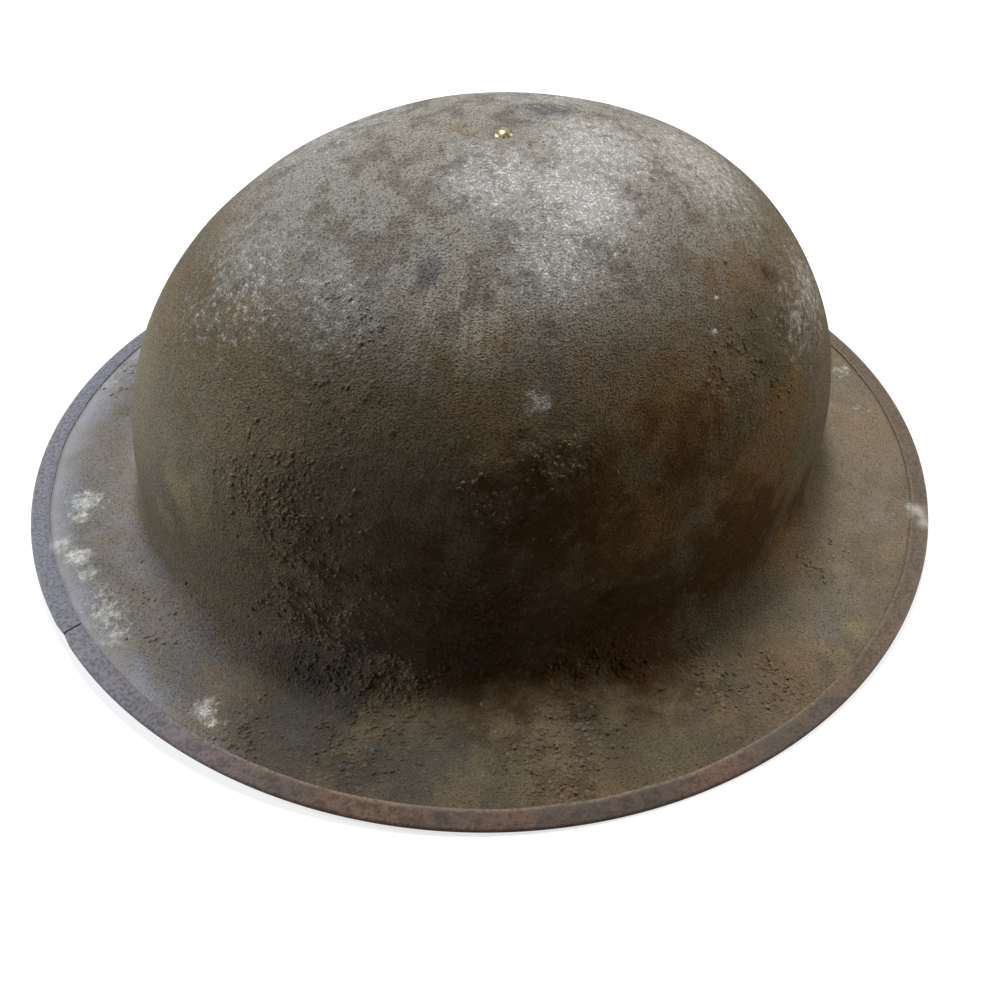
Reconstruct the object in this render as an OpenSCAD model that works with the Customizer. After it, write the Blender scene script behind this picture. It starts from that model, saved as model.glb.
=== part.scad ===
// Steel helmet with a round dome, a broad flat brim and a folded rim band.
// The head goes into a leather band that hangs from the crown on two crossing
// straps, with a twine net above it and rubber buffers round it. A leather
// chinstrap hangs on two wire bails and lies stowed inside the brim.
// Axes: +X is the front, +Y the wearer's left, +Z up. The origin is on the
// table, under the middle of the brim.

/* [Steel shell] */
// Length of the brim over the rim band, front to back
brim_length = 305; // [296:1:314]
// Width of the brim over the rim band
brim_width = 288; // [280:1:296]
// Height of the crown above the table
crown_height = 123; // [119:0.5:127]
// Height at which the dome bends outwards into the brim
dome_foot = 19; // [17:0.25:21]
// Fullness of the dome's section, where 2 is a plain ellipse
dome_fullness = 2.17; // [2.1:0.01:2.25]
// Radius of the bend between the dome and the brim
flare_r = 12; // [9:0.5:15]
// Rise of the rim at the front and the back
rim_rise = 5.5; // [4:0.25:7]
// Thickness of the shell's steel
steel = 0.9; // [0.8:0.05:1]

/* [Rim band] */
// Width of the folded band on the brim
band_w = 5.2; // [4:0.2:7]
// Thickness of the band's strip
band_t = 0.45; // [0.35:0.05:0.6]
// Depth worn off the band's underside where it stands on the table
rim_flat = 0.35; // [0.25:0.05:0.45]
// Direction of the joint between the band's ends, round from the front
joint_turn = 194.5; // [180:0.5:200]
// Open gap between the band's ends
joint_gap = 0.6; // [0.4:0.1:1.5]

/* [Crown fittings] */
// Diameter of the brass rivet's domed head
crown_head_d = 5.8; // [5:0.2:8]
// Height of the brass rivet's domed head
crown_head_h = 1.6; // [1.2:0.1:2.4]
// Diameter of the brass rivet's shank
crown_shank_d = 3; // [2.4:0.2:4]
// Diameter of the washer inside the crown
washer_d = 16; // [13:0.5:18]
// Thickness of the washer inside the crown
washer_t = 1; // [0.8:0.1:1.4]
// Diameter of the felt pad under the crown
pad_d = 52; // [46:1:58]
// Thickness of the felt pad
pad_t = 5; // [4:0.5:6]

/* [Liner] */
// Length of the room inside the headband
head_length = 196; // [190:0.5:204]
// Width of the room inside the headband
head_width = 154; // [150:0.5:160]
// Room for the buffers between the headband and the steel at the front and back
end_room = 12.6; // [11.5:0.1:14]
// Room for the buffers between the headband and the steel at the sides
side_room = 12.25; // [11.75:0.05:13]
// Height of the headband's lower edge above the table
band_z = 40; // [39.5:0.25:42]
// Height of the headband from edge to edge
headband_h = 28; // [26:0.5:29]
// Thickness of the headband's leather
headband_t = 1.6; // [1.2:0.1:1.8]
// Width of each crown strap
crown_strap_w = 22; // [18:0.5:26]
// Thickness of each crown strap
crown_strap_t = 1.6; // [1.2:0.1:1.8]
// Thickness of the net's twine
twine_d = 1.8; // [1.4:0.1:2.2]
// Number of twines that lean each way in the net
twines = 14; // [10:1:16]
// Diameter of the ring in which the net's twines end
net_mouth_d = 42; // [36:1:48]

/* [Buffers] */
// Length of each rubber tube
tube_l = 30; // [26:0.5:32]
// Wall of each rubber tube
tube_wall = 2.2; // [1.8:0.1:2.4]
// Width of the leather strip that strings the tubes
strip_w = 5.5; // [4.5:0.25:6]
// Thickness of the leather strip
strip_t = 1.2; // [1:0.1:1.4]

/* [Strap lugs and bails] */
// Height of the lug rivets above the table
lug_z = 29; // [28:0.25:29.5]
// Width of each lug
lug_w = 14; // [12:0.5:15]
// Thickness of each lug's plate
lug_t = 1.2; // [1:0.1:1.4]
// Diameter of each lug rivet's shank
lug_shank_d = 4; // [3.4:0.1:4.6]
// Diameter of the lug rivet's shallow outer head
lug_head_d = 8.4; // [7.6:0.2:9.6]
// Diameter of the bail's wire
wire_d = 2.4; // [2:0.1:2.6]
// Reach of the bail from its hinge to its strap bar
bail_reach = 13; // [12:0.25:14]
// Angle at which the stowed bails lean in from the helmet's sides
bail_tuck = 35; // [32:0.5:38]

/* [Chinstrap] */
// Width of the chinstrap
strap_w = 19; // [17:0.5:19.5]
// Thickness of the chinstrap's leather
strap_t = 1.8; // [1.5:0.1:2]
// Length of the slide buckle along the strap
buckle_l = 12; // [10:0.5:13]
// Thickness of the slide buckle's plate
buckle_t = 1; // [0.8:0.1:1.2]
// Length of the leather keeper along the strap
keeper_l = 8; // [6:0.5:9]
// Thickness of the leather keeper
keeper_t = 1.4; // [1.2:0.1:1.6]

/* [Hidden] */
$fn = 64;

// Clearances
seat = 0.15;            // between pieces that lie on each other
fold_gap = 0.05;        // between the band's fold and the steel
pin_gap = 0.05;         // round a rivet or a hinge wire
soft_gap = 0.3;         // round a soft piece
eye_gap = 0.25;         // between a bail's bar and the leather round it
table_gap = 0.3;        // under the stowed chinstrap
wall_gap = 0.6;         // between a buffer and the steel or the headband
over = 2;               // run of a cutter past what it cuts

// Shell
sectors = 72;
half_band = steel/2 + fold_gap + band_t;
edge_l = brim_length/2 - half_band;
edge_w = brim_width/2 - half_band;
edge_z = half_band + steel/2 - rim_flat;
crown_turn = 3;         // half angle of the small flat on the crown
du = 0.01;              // step used to find the skin's direction
dome_turns = [for (w = [crown_turn, 10, 18, 27, 36, 45, 54, 63, 72, 81]) w/90];
skin_turns = concat(dome_turns, [1, 1.25, 1.5, 1.75, 2, 2.5, 3]);

// Share of the dome's foot size that is left at height z
function dome_share(z) =
    let (rise = (z - dome_foot)/(crown_height - dome_foot))
    pow(1 - pow(rise, dome_fullness), 1/dome_fullness);

// Length and width of the dome's foot, so that the steel clears the buffers at
// their height and the crown straps' corners at the headband's upper edge
band_a = head_length/2;
band_b = head_width/2;
band_top = band_z + headband_h;
tube_up = 8;            // buffers' height on the headband
tube_z = band_z + tube_up;
function foot_for(along, across, room) =
    let (strap_end = [along + headband_t + seat + crown_strap_t, crown_strap_w/2*along/across])
    2*max((along + headband_t + room + steel)/dome_share(tube_z),
        (norm(strap_end) + wall_gap + steel)/dome_share(band_top));
dome_length = foot_for(band_a, band_b, end_room);
dome_width = foot_for(band_b, band_a, side_room);

// Half length and half width inside the steel at height z
function inside_y(z) = dome_width/2*dome_share(z) - steel;

// Point of the outer skin: u runs 0 to 1 down the dome, to 2 round the bend and
// to 3 along the brim, and t is the direction round from the front
function rim_point(t) = [edge_l*cos(t), edge_w*sin(t), edge_z + rim_rise*pow(cos(t), 2)];
function foot_point(t) = [dome_length/2*cos(t), dome_width/2*sin(t), dome_foot];
function dome_point(u, t) =
    let (share = pow(sin(90*u), 2/dome_fullness),
         rise = pow(cos(90*u), 2/dome_fullness))
    [dome_length/2*cos(t)*share, dome_width/2*sin(t)*share,
     dome_foot + (crown_height - dome_foot)*rise];
function bend_point(u, t) =
    let (foot = foot_point(t), rim = rim_point(t),
         way = [rim.x - foot.x, rim.y - foot.y], reach = norm(way),
         run = reach - flare_r, drop = rim.z - dome_foot,
         last = 270 + atan2(drop, run) + asin(flare_r/norm([run, drop])),
         turn = 180 + (last - 180)*(u - 1),
         out = flare_r + flare_r*cos(turn))
    [foot.x + way.x/reach*out, foot.y + way.y/reach*out, dome_foot + flare_r*sin(turn)];
function skin(u, t) =
    u <= 1 ? dome_point(max(u, 0.001), t) :
    u <= 2 ? bend_point(u, t) :
    bend_point(2, t)*(3 - u) + rim_point(t)*(u - 2);
function skin_way(u, t) =
    let (down = skin(min(u + du, 3), t) - skin(u - du, t))
    down/norm(down);
function skin_out(u, t) =
    let (round = skin(u, t + 1) - skin(u, t - 1), out = cross(skin_way(u, t), round))
    u <= crown_turn/90 ? [0, 0, 1] : out/norm(out);
function skin_ring(u, depth) =
    [for (i = [0:sectors - 1])
        let (t = 360*i/sectors)
        skin(u, t) - skin_out(u, t)*depth];

// Oval with half axes a and b: its points, its outward direction and its radius
function oval(a, b, n = sectors) = [for (i = [0:n - 1]) [a*cos(360*i/n), b*sin(360*i/n)]];
function oval_out(a, b, t) = atan2(a*sin(t), b*cos(t));
function oval_bend(a, b, t) = pow(pow(a*sin(t), 2) + pow(b*cos(t), 2), 1.5)/(a*b);

// Crown, from the steel downwards
crown_top = skin(crown_turn/90, 0).z;
crown_under = crown_top - steel;
washer_sag = crown_under - (dome_foot + (crown_under - dome_foot)
    *pow(1 - pow(washer_d/(dome_width - 2*steel), dome_fullness), 1/dome_fullness));
washer_top = crown_under - washer_sag - seat;
long_top = washer_top - washer_t - pin_gap;
cross_top = long_top - crown_strap_t - pin_gap;
cross_under = cross_top - crown_strap_t;
tail_h = 1.1;           // clenched tail of the brass rivet
tail_flare = 0.8;
tail_d = crown_head_d + tail_flare;
pad_top = cross_under - soft_gap;
pad_hole_room = 2;
pad_hole_r = tail_d/2 + pad_hole_room;
pad_lip = 1;            // bevels of the pad's upper and lower edges
pad_bevel = 2;
pad_droop = 0.26;       // fall of the pad's edge for each mm outwards

// Liner
tab_h = 15;             // length of a crown strap's end on the headband
strap_spring = band_top;
flat_spare = 3;         // flat top of a crown strap's arch, beyond the other strap
flat_half = crown_strap_w/2 + flat_spare;
arch_power = 1.36;
net_z = band_top + soft_gap + twine_d/2;
net_drop = 6;           // from the pad down to the net's mouth
net_rise = cross_under - pad_t - net_z - net_drop;

// Buffers, in the space between the headband and the steel
tube_d = side_room - 2*wall_gap;
tube_a = band_a + headband_t + end_room/2;
tube_b = band_b + headband_t + side_room/2;
tubes = 12;
tube_turn = 360/tubes;
pin_d = 2;              // shank of the small liner rivets
pin_head_d = 5;
pin_head_h = 0.7;
clench_h = 0.5;

// Lugs and bails, in the plane of the chinstrap with the lug rivets as its pivot
lug_r = lug_w/2;
lug_clear = 5;          // the lug's face meets the steel this far above the lug
lug_rise = lug_r + lug_clear;
lug_face = inside_y(lug_z + lug_rise) - seat;
hinge_r = wire_d/2 + pin_gap + lug_t;
hinge_out = 2.5;        // hinge's distance from the round plate's edge
hinge_x = -(lug_r + hinge_out);
hinge_y = lug_face - hinge_r;
lug_head_h = 0.7;       // outer head with its straight edge
lug_head_edge = 0.25;
lug_flare = 3.2;
lug_button_d = lug_shank_d + lug_flare; // inner head
lug_button_h = 1.3;
lug_head_seat = inside_y(lug_z) + steel*0.55;
bar_half = hinge_y - bail_reach*sin(bail_tuck);
bar_x = hinge_x - bail_reach*cos(bail_tuck);
bail_room = 1;          // between the strap's edges and the bail's sides
bail_half = strap_w/2 + bail_room + wire_d/2;
bail_corner = 3;

// Chinstrap route: straight from each bar to the bend, then round the back
back_room = 9;          // between the strap and the back of the dome's foot
reach_back = dome_length/2 - steel - back_room;
turn_share = 0.78;      // where the bend starts, on the way to the back
turn_in = 26;           // and how far it lies inside the bars
turn_x = -turn_share*reach_back;
turn_y = bar_half - turn_in;
stretch = norm([turn_x - bar_x, turn_y - bar_half]);
lean = atan2(bar_half - turn_y, bar_x - turn_x);
bend_pull = 17;         // how far the stretch's direction carries into the bend
back_pull = 28;         // and the direction across the back
half_w = strap_w/2;
tip_spare = 1;
tip_r = half_w + tip_spare;     // round tips of the strap's ends
far_back = reach_back + strap_t/2;
tilt = asin((lug_z - table_gap)/norm([far_back, half_w])) - atan2(half_w, far_back);
eye_r = wire_d/2 + eye_gap + strap_t;
strap_from = 2;         // distances along the stretch, from the bar
fold_from = 1.5;
fold_pin_at = 9;
fold_end = 14;
tail_at = 17;
keeper_at = 22;
buckle_at = 48;
short_spare = 3;
short_end = stretch - short_spare;
loop_head_h = 0.8;
grip_d = 2.2*buckle_t;
aperture_out = strap_t + soft_gap;
aperture_in = strap_t + 2*soft_gap;

// Closed solid through a list of rings with equal counts, with flat ends
module loft(rings) {
    n = len(rings[0]);
    last = len(rings) - 1;
    sides = [for (i = [0:last - 1], j = [0:n - 1])
        let (k = (j + 1)%n, a = i*n + j, b = i*n + k, c = a + n, d = b + n)
        each [[a, b, d], [a, d, c]]];
    polyhedron([for (ring = rings) each ring],
        concat([[for (j = [n - 1:-1:0]) j]], [[for (j = [0:n - 1]) last*n + j]], sides));
}

// Upright wall of leather round an oval room
module oval_wall(a, b, wall, h) {
    linear_extrude(h) difference() {
        polygon(oval(a + wall, b + wall));
        polygon(oval(a, b));
    }
}

// Puts its children on an oval at direction t with +X outwards
module on_oval(a, b, t, z) {
    translate([a*cos(t), b*sin(t), z]) rotate([0, 0, oval_out(a, b, t)]) children();
}

// Round bar or hole along +X from x0 to x1
module x_rod(d, x0, x1) {
    translate([x0, 0, 0]) rotate([0, 90, 0]) cylinder(d = d, h = x1 - x0);
}

// Shallow domed rivet head on the plane z = 0
module button(d, h) {
    r = (pow(d/2, 2) + h*h)/(2*h);
    half = asin(d/2/r);
    rotate_extrude() polygon(concat([[0, 0]],
        [for (i = [5:-1:0]) [r*sin(half*i/5), h - r + r*cos(half*i/5)]]));
}

// Pressed steel shell with its rivet holes
module shell() color([0.24, 0.22, 0.18]) difference() {
    loft(concat([for (u = skin_turns) skin_ring(u, 0)],
        [for (i = [len(skin_turns) - 1:-1:0]) skin_ring(skin_turns[i], steel)]));
    translate([0, 0, crown_height/2]) cylinder(d = crown_shank_d + 2*pin_gap, h = crown_height);
    for (side = [1, -1]) translate([0, 0, lug_z]) rotate([-90*side, 0, 0]) {
        cylinder(d = lug_shank_d + 2*pin_gap, h = dome_width);
        translate([0, 0, lug_head_seat]) cylinder(d = lug_head_d + 2*pin_gap, h = dome_width/4);
    }
}

// Folded strip round the rim, open at its joint and worn flat underneath
band_inner = steel/2 + fold_gap;
function fold_section() = concat(
    [[-band_w, -half_band]],
    [for (a = [-90, -54, -18, 18, 54, 90]) [half_band*cos(a), half_band*sin(a)]],
    [[-band_w, half_band], [-band_w, band_inner]],
    [for (a = [90, 0, -90]) [band_inner*cos(a), band_inner*sin(a)]],
    [[-band_w, -band_inner]]);
function band_ring(t) =
    let (way = skin_way(3, t), out = skin_out(3, t),
         middle = skin(3, t) - out*steel/2)
    [for (p = fold_section()) middle + way*p.x + out*p.y];
module rim_band() color([0.3, 0.27, 0.25]) {
    half_turn = joint_gap/2/edge_l*180/PI;
    from = joint_turn + half_turn;
    to = joint_turn + 360 - half_turn;
    step = 360/sectors;
    least = 0.2;            // no station comes closer than this to an end
    first = step*ceil((from + least)/step);
    turns = concat([from], [for (t = [first:step:to - least]) t], [to]);
    difference() {
        loft([for (t = turns) band_ring(t)]);
        translate([0, 0, -5]) cube([2*brim_length, 2*brim_width, 10], center = true);
    }
}

// Brass rivet that holds the liner: domed head, shank and clenched tail
module crown_rivet() color([0.72, 0.58, 0.28]) {
    translate([0, 0, crown_top + pin_gap/2]) button(crown_head_d, crown_head_h);
    translate([0, 0, cross_under - tail_h])
        cylinder(d = crown_shank_d, h = crown_top - cross_under + tail_h + pin_gap);
    translate([0, 0, cross_under - tail_h - pin_gap]) cylinder(d = tail_d, h = tail_h);
}

module crown_bore() {
    cylinder(d = crown_shank_d + 2*pin_gap, h = crown_height);
}
module crown_washer() color([0.5, 0.5, 0.5]) difference() {
    translate([0, 0, washer_top - washer_t]) cylinder(d = washer_d, h = washer_t);
    crown_bore();
}

// Felt pad under the straps, dished like them, with room for the rivet's tail
module crown_pad() color([0.45, 0.42, 0.36]) rotate_extrude() {
    r = pad_d/2;
    sag = pad_droop*(r - flat_half);
    polygon([[pad_hole_r, pad_top - pad_t + pad_lip], [pad_hole_r, pad_top], [flat_half, pad_top],
        [r - pad_lip, pad_top - sag], [r, pad_top - sag - pad_lip],
        [r, pad_top - sag - pad_t + pad_bevel], [r - pad_bevel, pad_top - sag - pad_t],
        [flat_half, pad_top - pad_t]]);
}

// Side outline of a crown strap: an arch with a flat top and upright ends
function arch(end, top) = concat(
    [[end, band_top - tab_h]],
    [for (a = [0:9:90])
        [flat_half + (end - flat_half)*pow(cos(a), 2/arch_power),
         strap_spring + (top - strap_spring)*pow(sin(a), 2/arch_power)]]);
module crown_strap(reach, top) {
    outer = arch(reach + crown_strap_t, top);
    inner = arch(reach, top - crown_strap_t);
    mirrored = [for (p = outer) [-p.x, p.y]];
    hidden = [for (p = inner) [-p.x, p.y]];
    n = len(outer) - 1;
    rotate([90, 0, 0]) linear_extrude(crown_strap_w, center = true)
        polygon(concat(outer, [for (i = [n:-1:0]) mirrored[i]],
            hidden, [for (i = [n:-1:0]) inner[i]]));
}
module tab_bores(a, b, t) {
    for (turn = [t, t + 180]) on_oval(a, b, turn, band_top - tab_h/2)
        x_rod(pin_d + 2*pin_gap, -headband_t - over, crown_strap_t + 2*over);
}
module long_crown_strap() color([0.42, 0.28, 0.16]) difference() {
    crown_strap(band_a + headband_t + seat, long_top);
    crown_bore();
    tab_bores(band_a + headband_t, band_b + headband_t, 0);
}
module cross_crown_strap() color([0.4, 0.27, 0.15]) difference() {
    rotate([0, 0, 90]) crown_strap(band_b + headband_t + seat, cross_top);
    crown_bore();
    tab_bores(band_a + headband_t, band_b + headband_t, 90);
}

// Small liner rivet along +X, its head inside the headband, through leather of
// the given thickness
module liner_rivet(thickness) {
    clench = thickness + seat;
    translate([-seat, 0, 0]) rotate([0, -90, 0]) button(pin_head_d, pin_head_h);
    x_rod(pin_d, -seat - pin_head_h/2, clench + clench_h/2);
    x_rod(pin_head_d - 1, clench, clench + clench_h);
}
module crown_strap_rivets() color([0.6, 0.6, 0.58]) {
    for (t = [0, 90, 180, 270]) on_oval(band_a, band_b, t, band_top - tab_h/2)
        liner_rivet(headband_t + seat + crown_strap_t);
}

module headband() color([0.36, 0.22, 0.12]) difference() {
    translate([0, 0, band_z]) oval_wall(band_a, band_b, headband_t, headband_h);
    tab_bores(band_a + headband_t, band_b + headband_t, 0);
    tab_bores(band_a + headband_t, band_b + headband_t, 90);
    for (i = [0:tubes - 1]) on_oval(band_a, band_b, i*tube_turn, tube_z)
        x_rod(pin_d + 2*pin_gap, -over, headband_t + over);
}

// Net: twines that lean both ways from the headband's edge to a small mouth
mouth_r = net_mouth_d/2;
net_out = 0.2;          // how far the net's edge lies outside the headband's inner face
rim_a = band_a + net_out;
rim_b = band_b + net_out;
net_twist = 75;         // degrees that a twine runs round from edge to mouth
net_power = 1.8;
net_shares = [1, 0.86, 0.72, 0.58, 0.44, 0.3, 0.15, 0];
function net_point(share, t) =
    [(mouth_r + (rim_a - mouth_r)*share)*cos(t), (mouth_r + (rim_b - mouth_r)*share)*sin(t),
     net_z + net_rise*(1 - pow(share, net_power))];
// Four-sided twine through points, whose flat side faces the head
function twine_ring(p, along) =
    let (f = along/norm(along), side0 = cross(f, [0, 0, 1]), side = side0/norm(side0),
         up = cross(side, f), r = twine_d/2)
    [for (a = [45:90:315]) p + side*r*cos(a) + up*r*sin(a)];
function closed_twine(pts) =
    let (n = len(pts))
    [for (i = [0:n - 1]) twine_ring(pts[i], pts[(i + 1)%n] - pts[(i + n - 1)%n])];
module ring_twine(pts) {
    rings = closed_twine(pts);
    n = len(rings);
    polyhedron([for (ring = rings) each ring],
        [for (i = [0:n - 1], j = [0:3])
            let (k = (j + 1)%4, m = (i + 1)%n)
            each [[i*4 + j, i*4 + k, m*4 + k], [i*4 + j, m*4 + k, m*4 + j]]]);
}
module leaning_twine(start, way) {
    pts = [for (share = net_shares) net_point(share, start + way*net_twist*(1 - share))];
    n = len(pts) - 1;
    loft([for (i = [0:n]) twine_ring(pts[i], pts[min(i + 1, n)] - pts[max(i - 1, 0)])]);
}
module net() color([0.62, 0.55, 0.42]) union() {
    for (i = [0:twines - 1], way = [1, -1]) leaning_twine(360*i/twines, way);
    ring_twine([for (i = [0:47]) net_point(1, 7.5*i)]);
    ring_twine([for (i = [0:23]) net_point(0, 15*i)]);
}

// Drawstring that gathers the net's mouth
module net_drawstring() color([0.5, 0.42, 0.3])
    translate([0, 0, net_z + net_rise + twine_d + seat]) rotate_extrude()
        translate([mouth_r, 0]) circle(d = twine_d);

// Leather strip that dips to the headband between the rubber tubes
strip_shares = [0, 0.053, 0.106, 0.16, 0.33, 0.5, 0.67, 0.84, 0.894, 0.947];
dip_share_from = 0.053;
dip_share_to = 0.16;
function dip_share(t) =
    let (off = abs(t/tube_turn - round(t/tube_turn)),
         part = min(1, max(0, (off - dip_share_from)/(dip_share_to - dip_share_from))))
    part*part*(3 - 2*part);
function strip_point(t, shift) =
    let (low = [band_a + headband_t, band_b + headband_t], share = dip_share(t),
         out = oval_out(tube_a, tube_b, t), push = seat + strip_t/2 + shift)
    [(low.x*cos(t) + push*cos(out))*(1 - share) + (tube_a*cos(t) + shift*cos(out))*share,
     (low.y*sin(t) + push*sin(out))*(1 - share) + (tube_b*sin(t) + shift*sin(out))*share];
strip_turns = [for (i = [0:tubes - 1], share = strip_shares) (i + share)*tube_turn];
module buffer_strip() color([0.33, 0.21, 0.12]) difference() {
    translate([0, 0, tube_z - strip_w/2]) linear_extrude(strip_w) difference() {
        polygon([for (t = strip_turns) strip_point(t, strip_t/2)]);
        polygon([for (t = strip_turns) strip_point(t, -strip_t/2)]);
    }
    for (i = [0:tubes - 1]) on_oval(band_a, band_b, i*tube_turn, tube_z)
        x_rod(pin_d + 2*pin_gap, -over, headband_t + strip_t + over);
}

// Rubber tubes, bent to the oval and strung on the leather strip
module rubber_buffers() color([0.12, 0.12, 0.12])
    for (i = [0:tubes - 1]) {
        t = (i + 0.5)*tube_turn;
        bend = oval_bend(tube_a, tube_b, t);
        half = tube_l/2/bend*180/PI;
        on_oval(tube_a, tube_b, t, tube_z) translate([-bend, 0, 0]) rotate([0, 0, -half])
            rotate_extrude(angle = 2*half) translate([bend, 0]) difference() {
                circle(d = tube_d);
                circle(d = tube_d - 2*tube_wall);
            }
    }

module buffer_rivets() color([0.6, 0.6, 0.58])
    for (i = [0:tubes - 1]) on_oval(band_a, band_b, i*tube_turn, tube_z)
        liner_rivet(headband_t + seat + strip_t);

// Puts its children into the plane of the stowed chinstrap
module stow() {
    translate([0, 0, lug_z]) rotate([0, -tilt, 0]) children();
}
// Left side as it is, right side mirrored
module side_of(side) {
    if (side > 0) children();
    else mirror([0, 1, 0]) children();
}

// Rivet of a lug: shallow outer head let into the shell, inner head on the lug
module lug_rivet(side) side_of(side) translate([0, 0, lug_z]) rotate([-90, 0, 0]) {
    translate([0, 0, lug_head_seat + pin_gap/2]) {
        cylinder(d = lug_head_d, h = lug_head_edge);
        translate([0, 0, lug_head_edge]) button(lug_head_d, lug_head_h - lug_head_edge);
    }
    inner = lug_face - lug_t - pin_gap;
    translate([0, 0, inner - lug_button_h/2])
        cylinder(d = lug_shank_d, h = lug_head_seat - inner + (lug_button_h + lug_head_edge)/2);
    translate([0, 0, inner]) rotate([180, 0, 0]) button(lug_button_d, lug_button_h);
}
module left_lug_rivet() color([0.3, 0.28, 0.24]) lug_rivet(1);
module right_lug_rivet() color([0.3, 0.28, 0.24]) lug_rivet(-1);

// Lug: round plate that turns on its rivet, rolled into a hinge for the bail
module lug(side) stow() side_of(side) difference() {
    union() {
        translate([0, lug_face, 0]) rotate([90, 0, 0]) cylinder(r = lug_r, h = lug_t);
        translate([hinge_x, lug_face - lug_t, -lug_r]) cube([-hinge_x, lug_t, lug_w]);
        translate([hinge_x, hinge_y, -lug_r]) cylinder(r = hinge_r, h = lug_w);
    }
    translate([0, lug_face + over, 0]) rotate([90, 0, 0])
        cylinder(d = lug_shank_d + 2*pin_gap, h = lug_t + 2*over);
    translate([hinge_x, hinge_y, -lug_r - over])
        cylinder(d = wire_d + 2*pin_gap, h = lug_w + 2*over);
}
module left_lug() color([0.34, 0.32, 0.28]) lug(1);
module right_lug() color([0.34, 0.32, 0.28]) lug(-1);

// Wire bail: an oblong loop with round corners, from its hinge to its bar
module bail(side) stow() side_of(side)
    translate([hinge_x, hinge_y, 0]) rotate([0, 0, 180 + bail_tuck]) {
        straight = bail_half - bail_corner;
        for (x = [0, bail_reach]) translate([x, 0, -straight]) cylinder(d = wire_d, h = 2*straight);
        for (z = [-bail_half, bail_half]) translate([0, 0, z])
            x_rod(wire_d, bail_corner, bail_reach - bail_corner);
        for (corner = [[bail_corner, straight, 90], [bail_reach - bail_corner, straight, 0],
                [bail_corner, -straight, 180], [bail_reach - bail_corner, -straight, 270]])
            translate([corner[0], 0, corner[1]]) rotate([90, 0, 0]) rotate([0, 0, corner[2]])
                rotate_extrude(angle = 90) translate([bail_corner, 0]) circle(d = wire_d);
    }
module left_bail() color([0.4, 0.38, 0.34]) bail(1);
module right_bail() color([0.4, 0.38, 0.34]) bail(-1);

// Puts its children on the left stretch: +X along the strap, +Y inwards
module on_stretch() {
    translate([bar_x, bar_half, 0]) rotate([0, 0, 180 + lean]) children();
}
// Point of the left stretch at distance s from the bar, shifted inwards by n
function stretch_point(s, n) =
    [bar_x - s*cos(lean) + n*sin(lean), bar_half - s*sin(lean) - n*cos(lean)];
// Curve from p to q with pulls a and b
function pull_curve(p, a, b, q, steps) =
    [for (i = [0:steps])
        let (k = i/steps, m = 1 - k)
        p*m*m*m + a*3*m*m*k + b*3*m*k*k + q*k*k*k];
// Line of one side's bend, from the end of its stretch to the middle of the back
function bend_line(n) =
    let (p = stretch_point(stretch, n))
    pull_curve(p, p - bend_pull*[cos(lean), sin(lean)], [-reach_back, back_pull],
        [-reach_back, 0], 12);
function flip(pts) = [for (p = pts) [p.x, -p.y]];
// Ribbon of thickness w along a line of points
function ribbon(pts, w) =
    let (n = len(pts) - 1,
         off = [for (i = [0:n])
             let (d = pts[min(i + 1, n)] - pts[max(i - 1, 0)], e = d/norm(d))
             [-e.y, e.x]*w/2])
    concat([for (i = [0:n]) pts[i] - off[i]], [for (i = [n:-1:0]) pts[i] + off[i]]);

// Leather eye round a bar, with its end folded back on the strap's inner face,
// which is towards +Y on the left side and towards -Y on the right side
module eye(side) {
    circle(r = eye_r);
    translate([fold_from, (side > 0 ? -0.5 : -1)*strap_t])
        square([fold_end - fold_from, 1.5*strap_t]);
}
module eye_holes() {
    translate([0, 0, -strap_w]) cylinder(r = wire_d/2 + eye_gap, h = 2*strap_w);
    translate([fold_pin_at, strap_t + over, 0]) rotate([90, 0, 0])
        cylinder(d = pin_d + 2*pin_gap, h = 2*strap_t + 2*over);
}
// Cuts a round tip on a strap that ends at x, with its end towards way
module round_tip(x, way) {
    deep = 4*strap_t;
    difference() {
        translate([way > 0 ? x - half_w : x - over, -deep, -half_w - over])
            cube([half_w + over, 2*deep, strap_w + 2*over]);
        translate([x - way*tip_r, deep + over, 0]) rotate([90, 0, 0])
            cylinder(r = tip_r, h = 2*deep + 2*over);
    }
}

// Short part of the chinstrap, on the left bail
module chinstrap_short() color([0.3, 0.19, 0.11]) stow() on_stretch() difference() {
    translate([0, 0, -half_w]) linear_extrude(strap_w) {
        eye(1);
        translate([strap_from, -strap_t]) square([short_end - strap_from, strap_t]);
    }
    eye_holes();
    round_tip(short_end, 1);
}

// Long part, from the right bail round the back to its tail beside the short part
module chinstrap_long() color([0.3, 0.19, 0.11]) stow() difference() {
    tail_line = soft_gap + strap_t/2;
    other_side = concat([stretch_point(strap_from, -strap_t/2)], bend_line(-strap_t/2));
    line = concat([stretch_point(tail_at, tail_line)], bend_line(tail_line),
        [for (i = [len(other_side) - 2:-1:0]) flip(other_side)[i]]);
    translate([0, 0, -half_w]) linear_extrude(strap_w) {
        polygon(ribbon(line, strap_t));
        translate([bar_x, -bar_half]) rotate(180 - lean) eye(-1);
    }
    mirror([0, 1, 0]) on_stretch() eye_holes();
    on_stretch() round_tip(tail_at, -1);
}

// Rivet through the folded end of a strap
module loop_rivet(side) stow() side_of(side) on_stretch() translate([fold_pin_at, 0, 0])
    rotate([90, 0, 0]) {
        cylinder(d = pin_d, h = 2*(strap_t + pin_gap) + loop_head_h, center = true);
        for (turn = [0, 180]) rotate([turn, 0, 0]) translate([0, 0, strap_t + pin_gap])
            button(pin_head_d, loop_head_h);
    }
module left_loop_rivet() color([0.62, 0.5, 0.3]) loop_rivet(1);
module right_loop_rivet() color([0.62, 0.5, 0.3]) loop_rivet(-1);

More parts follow.
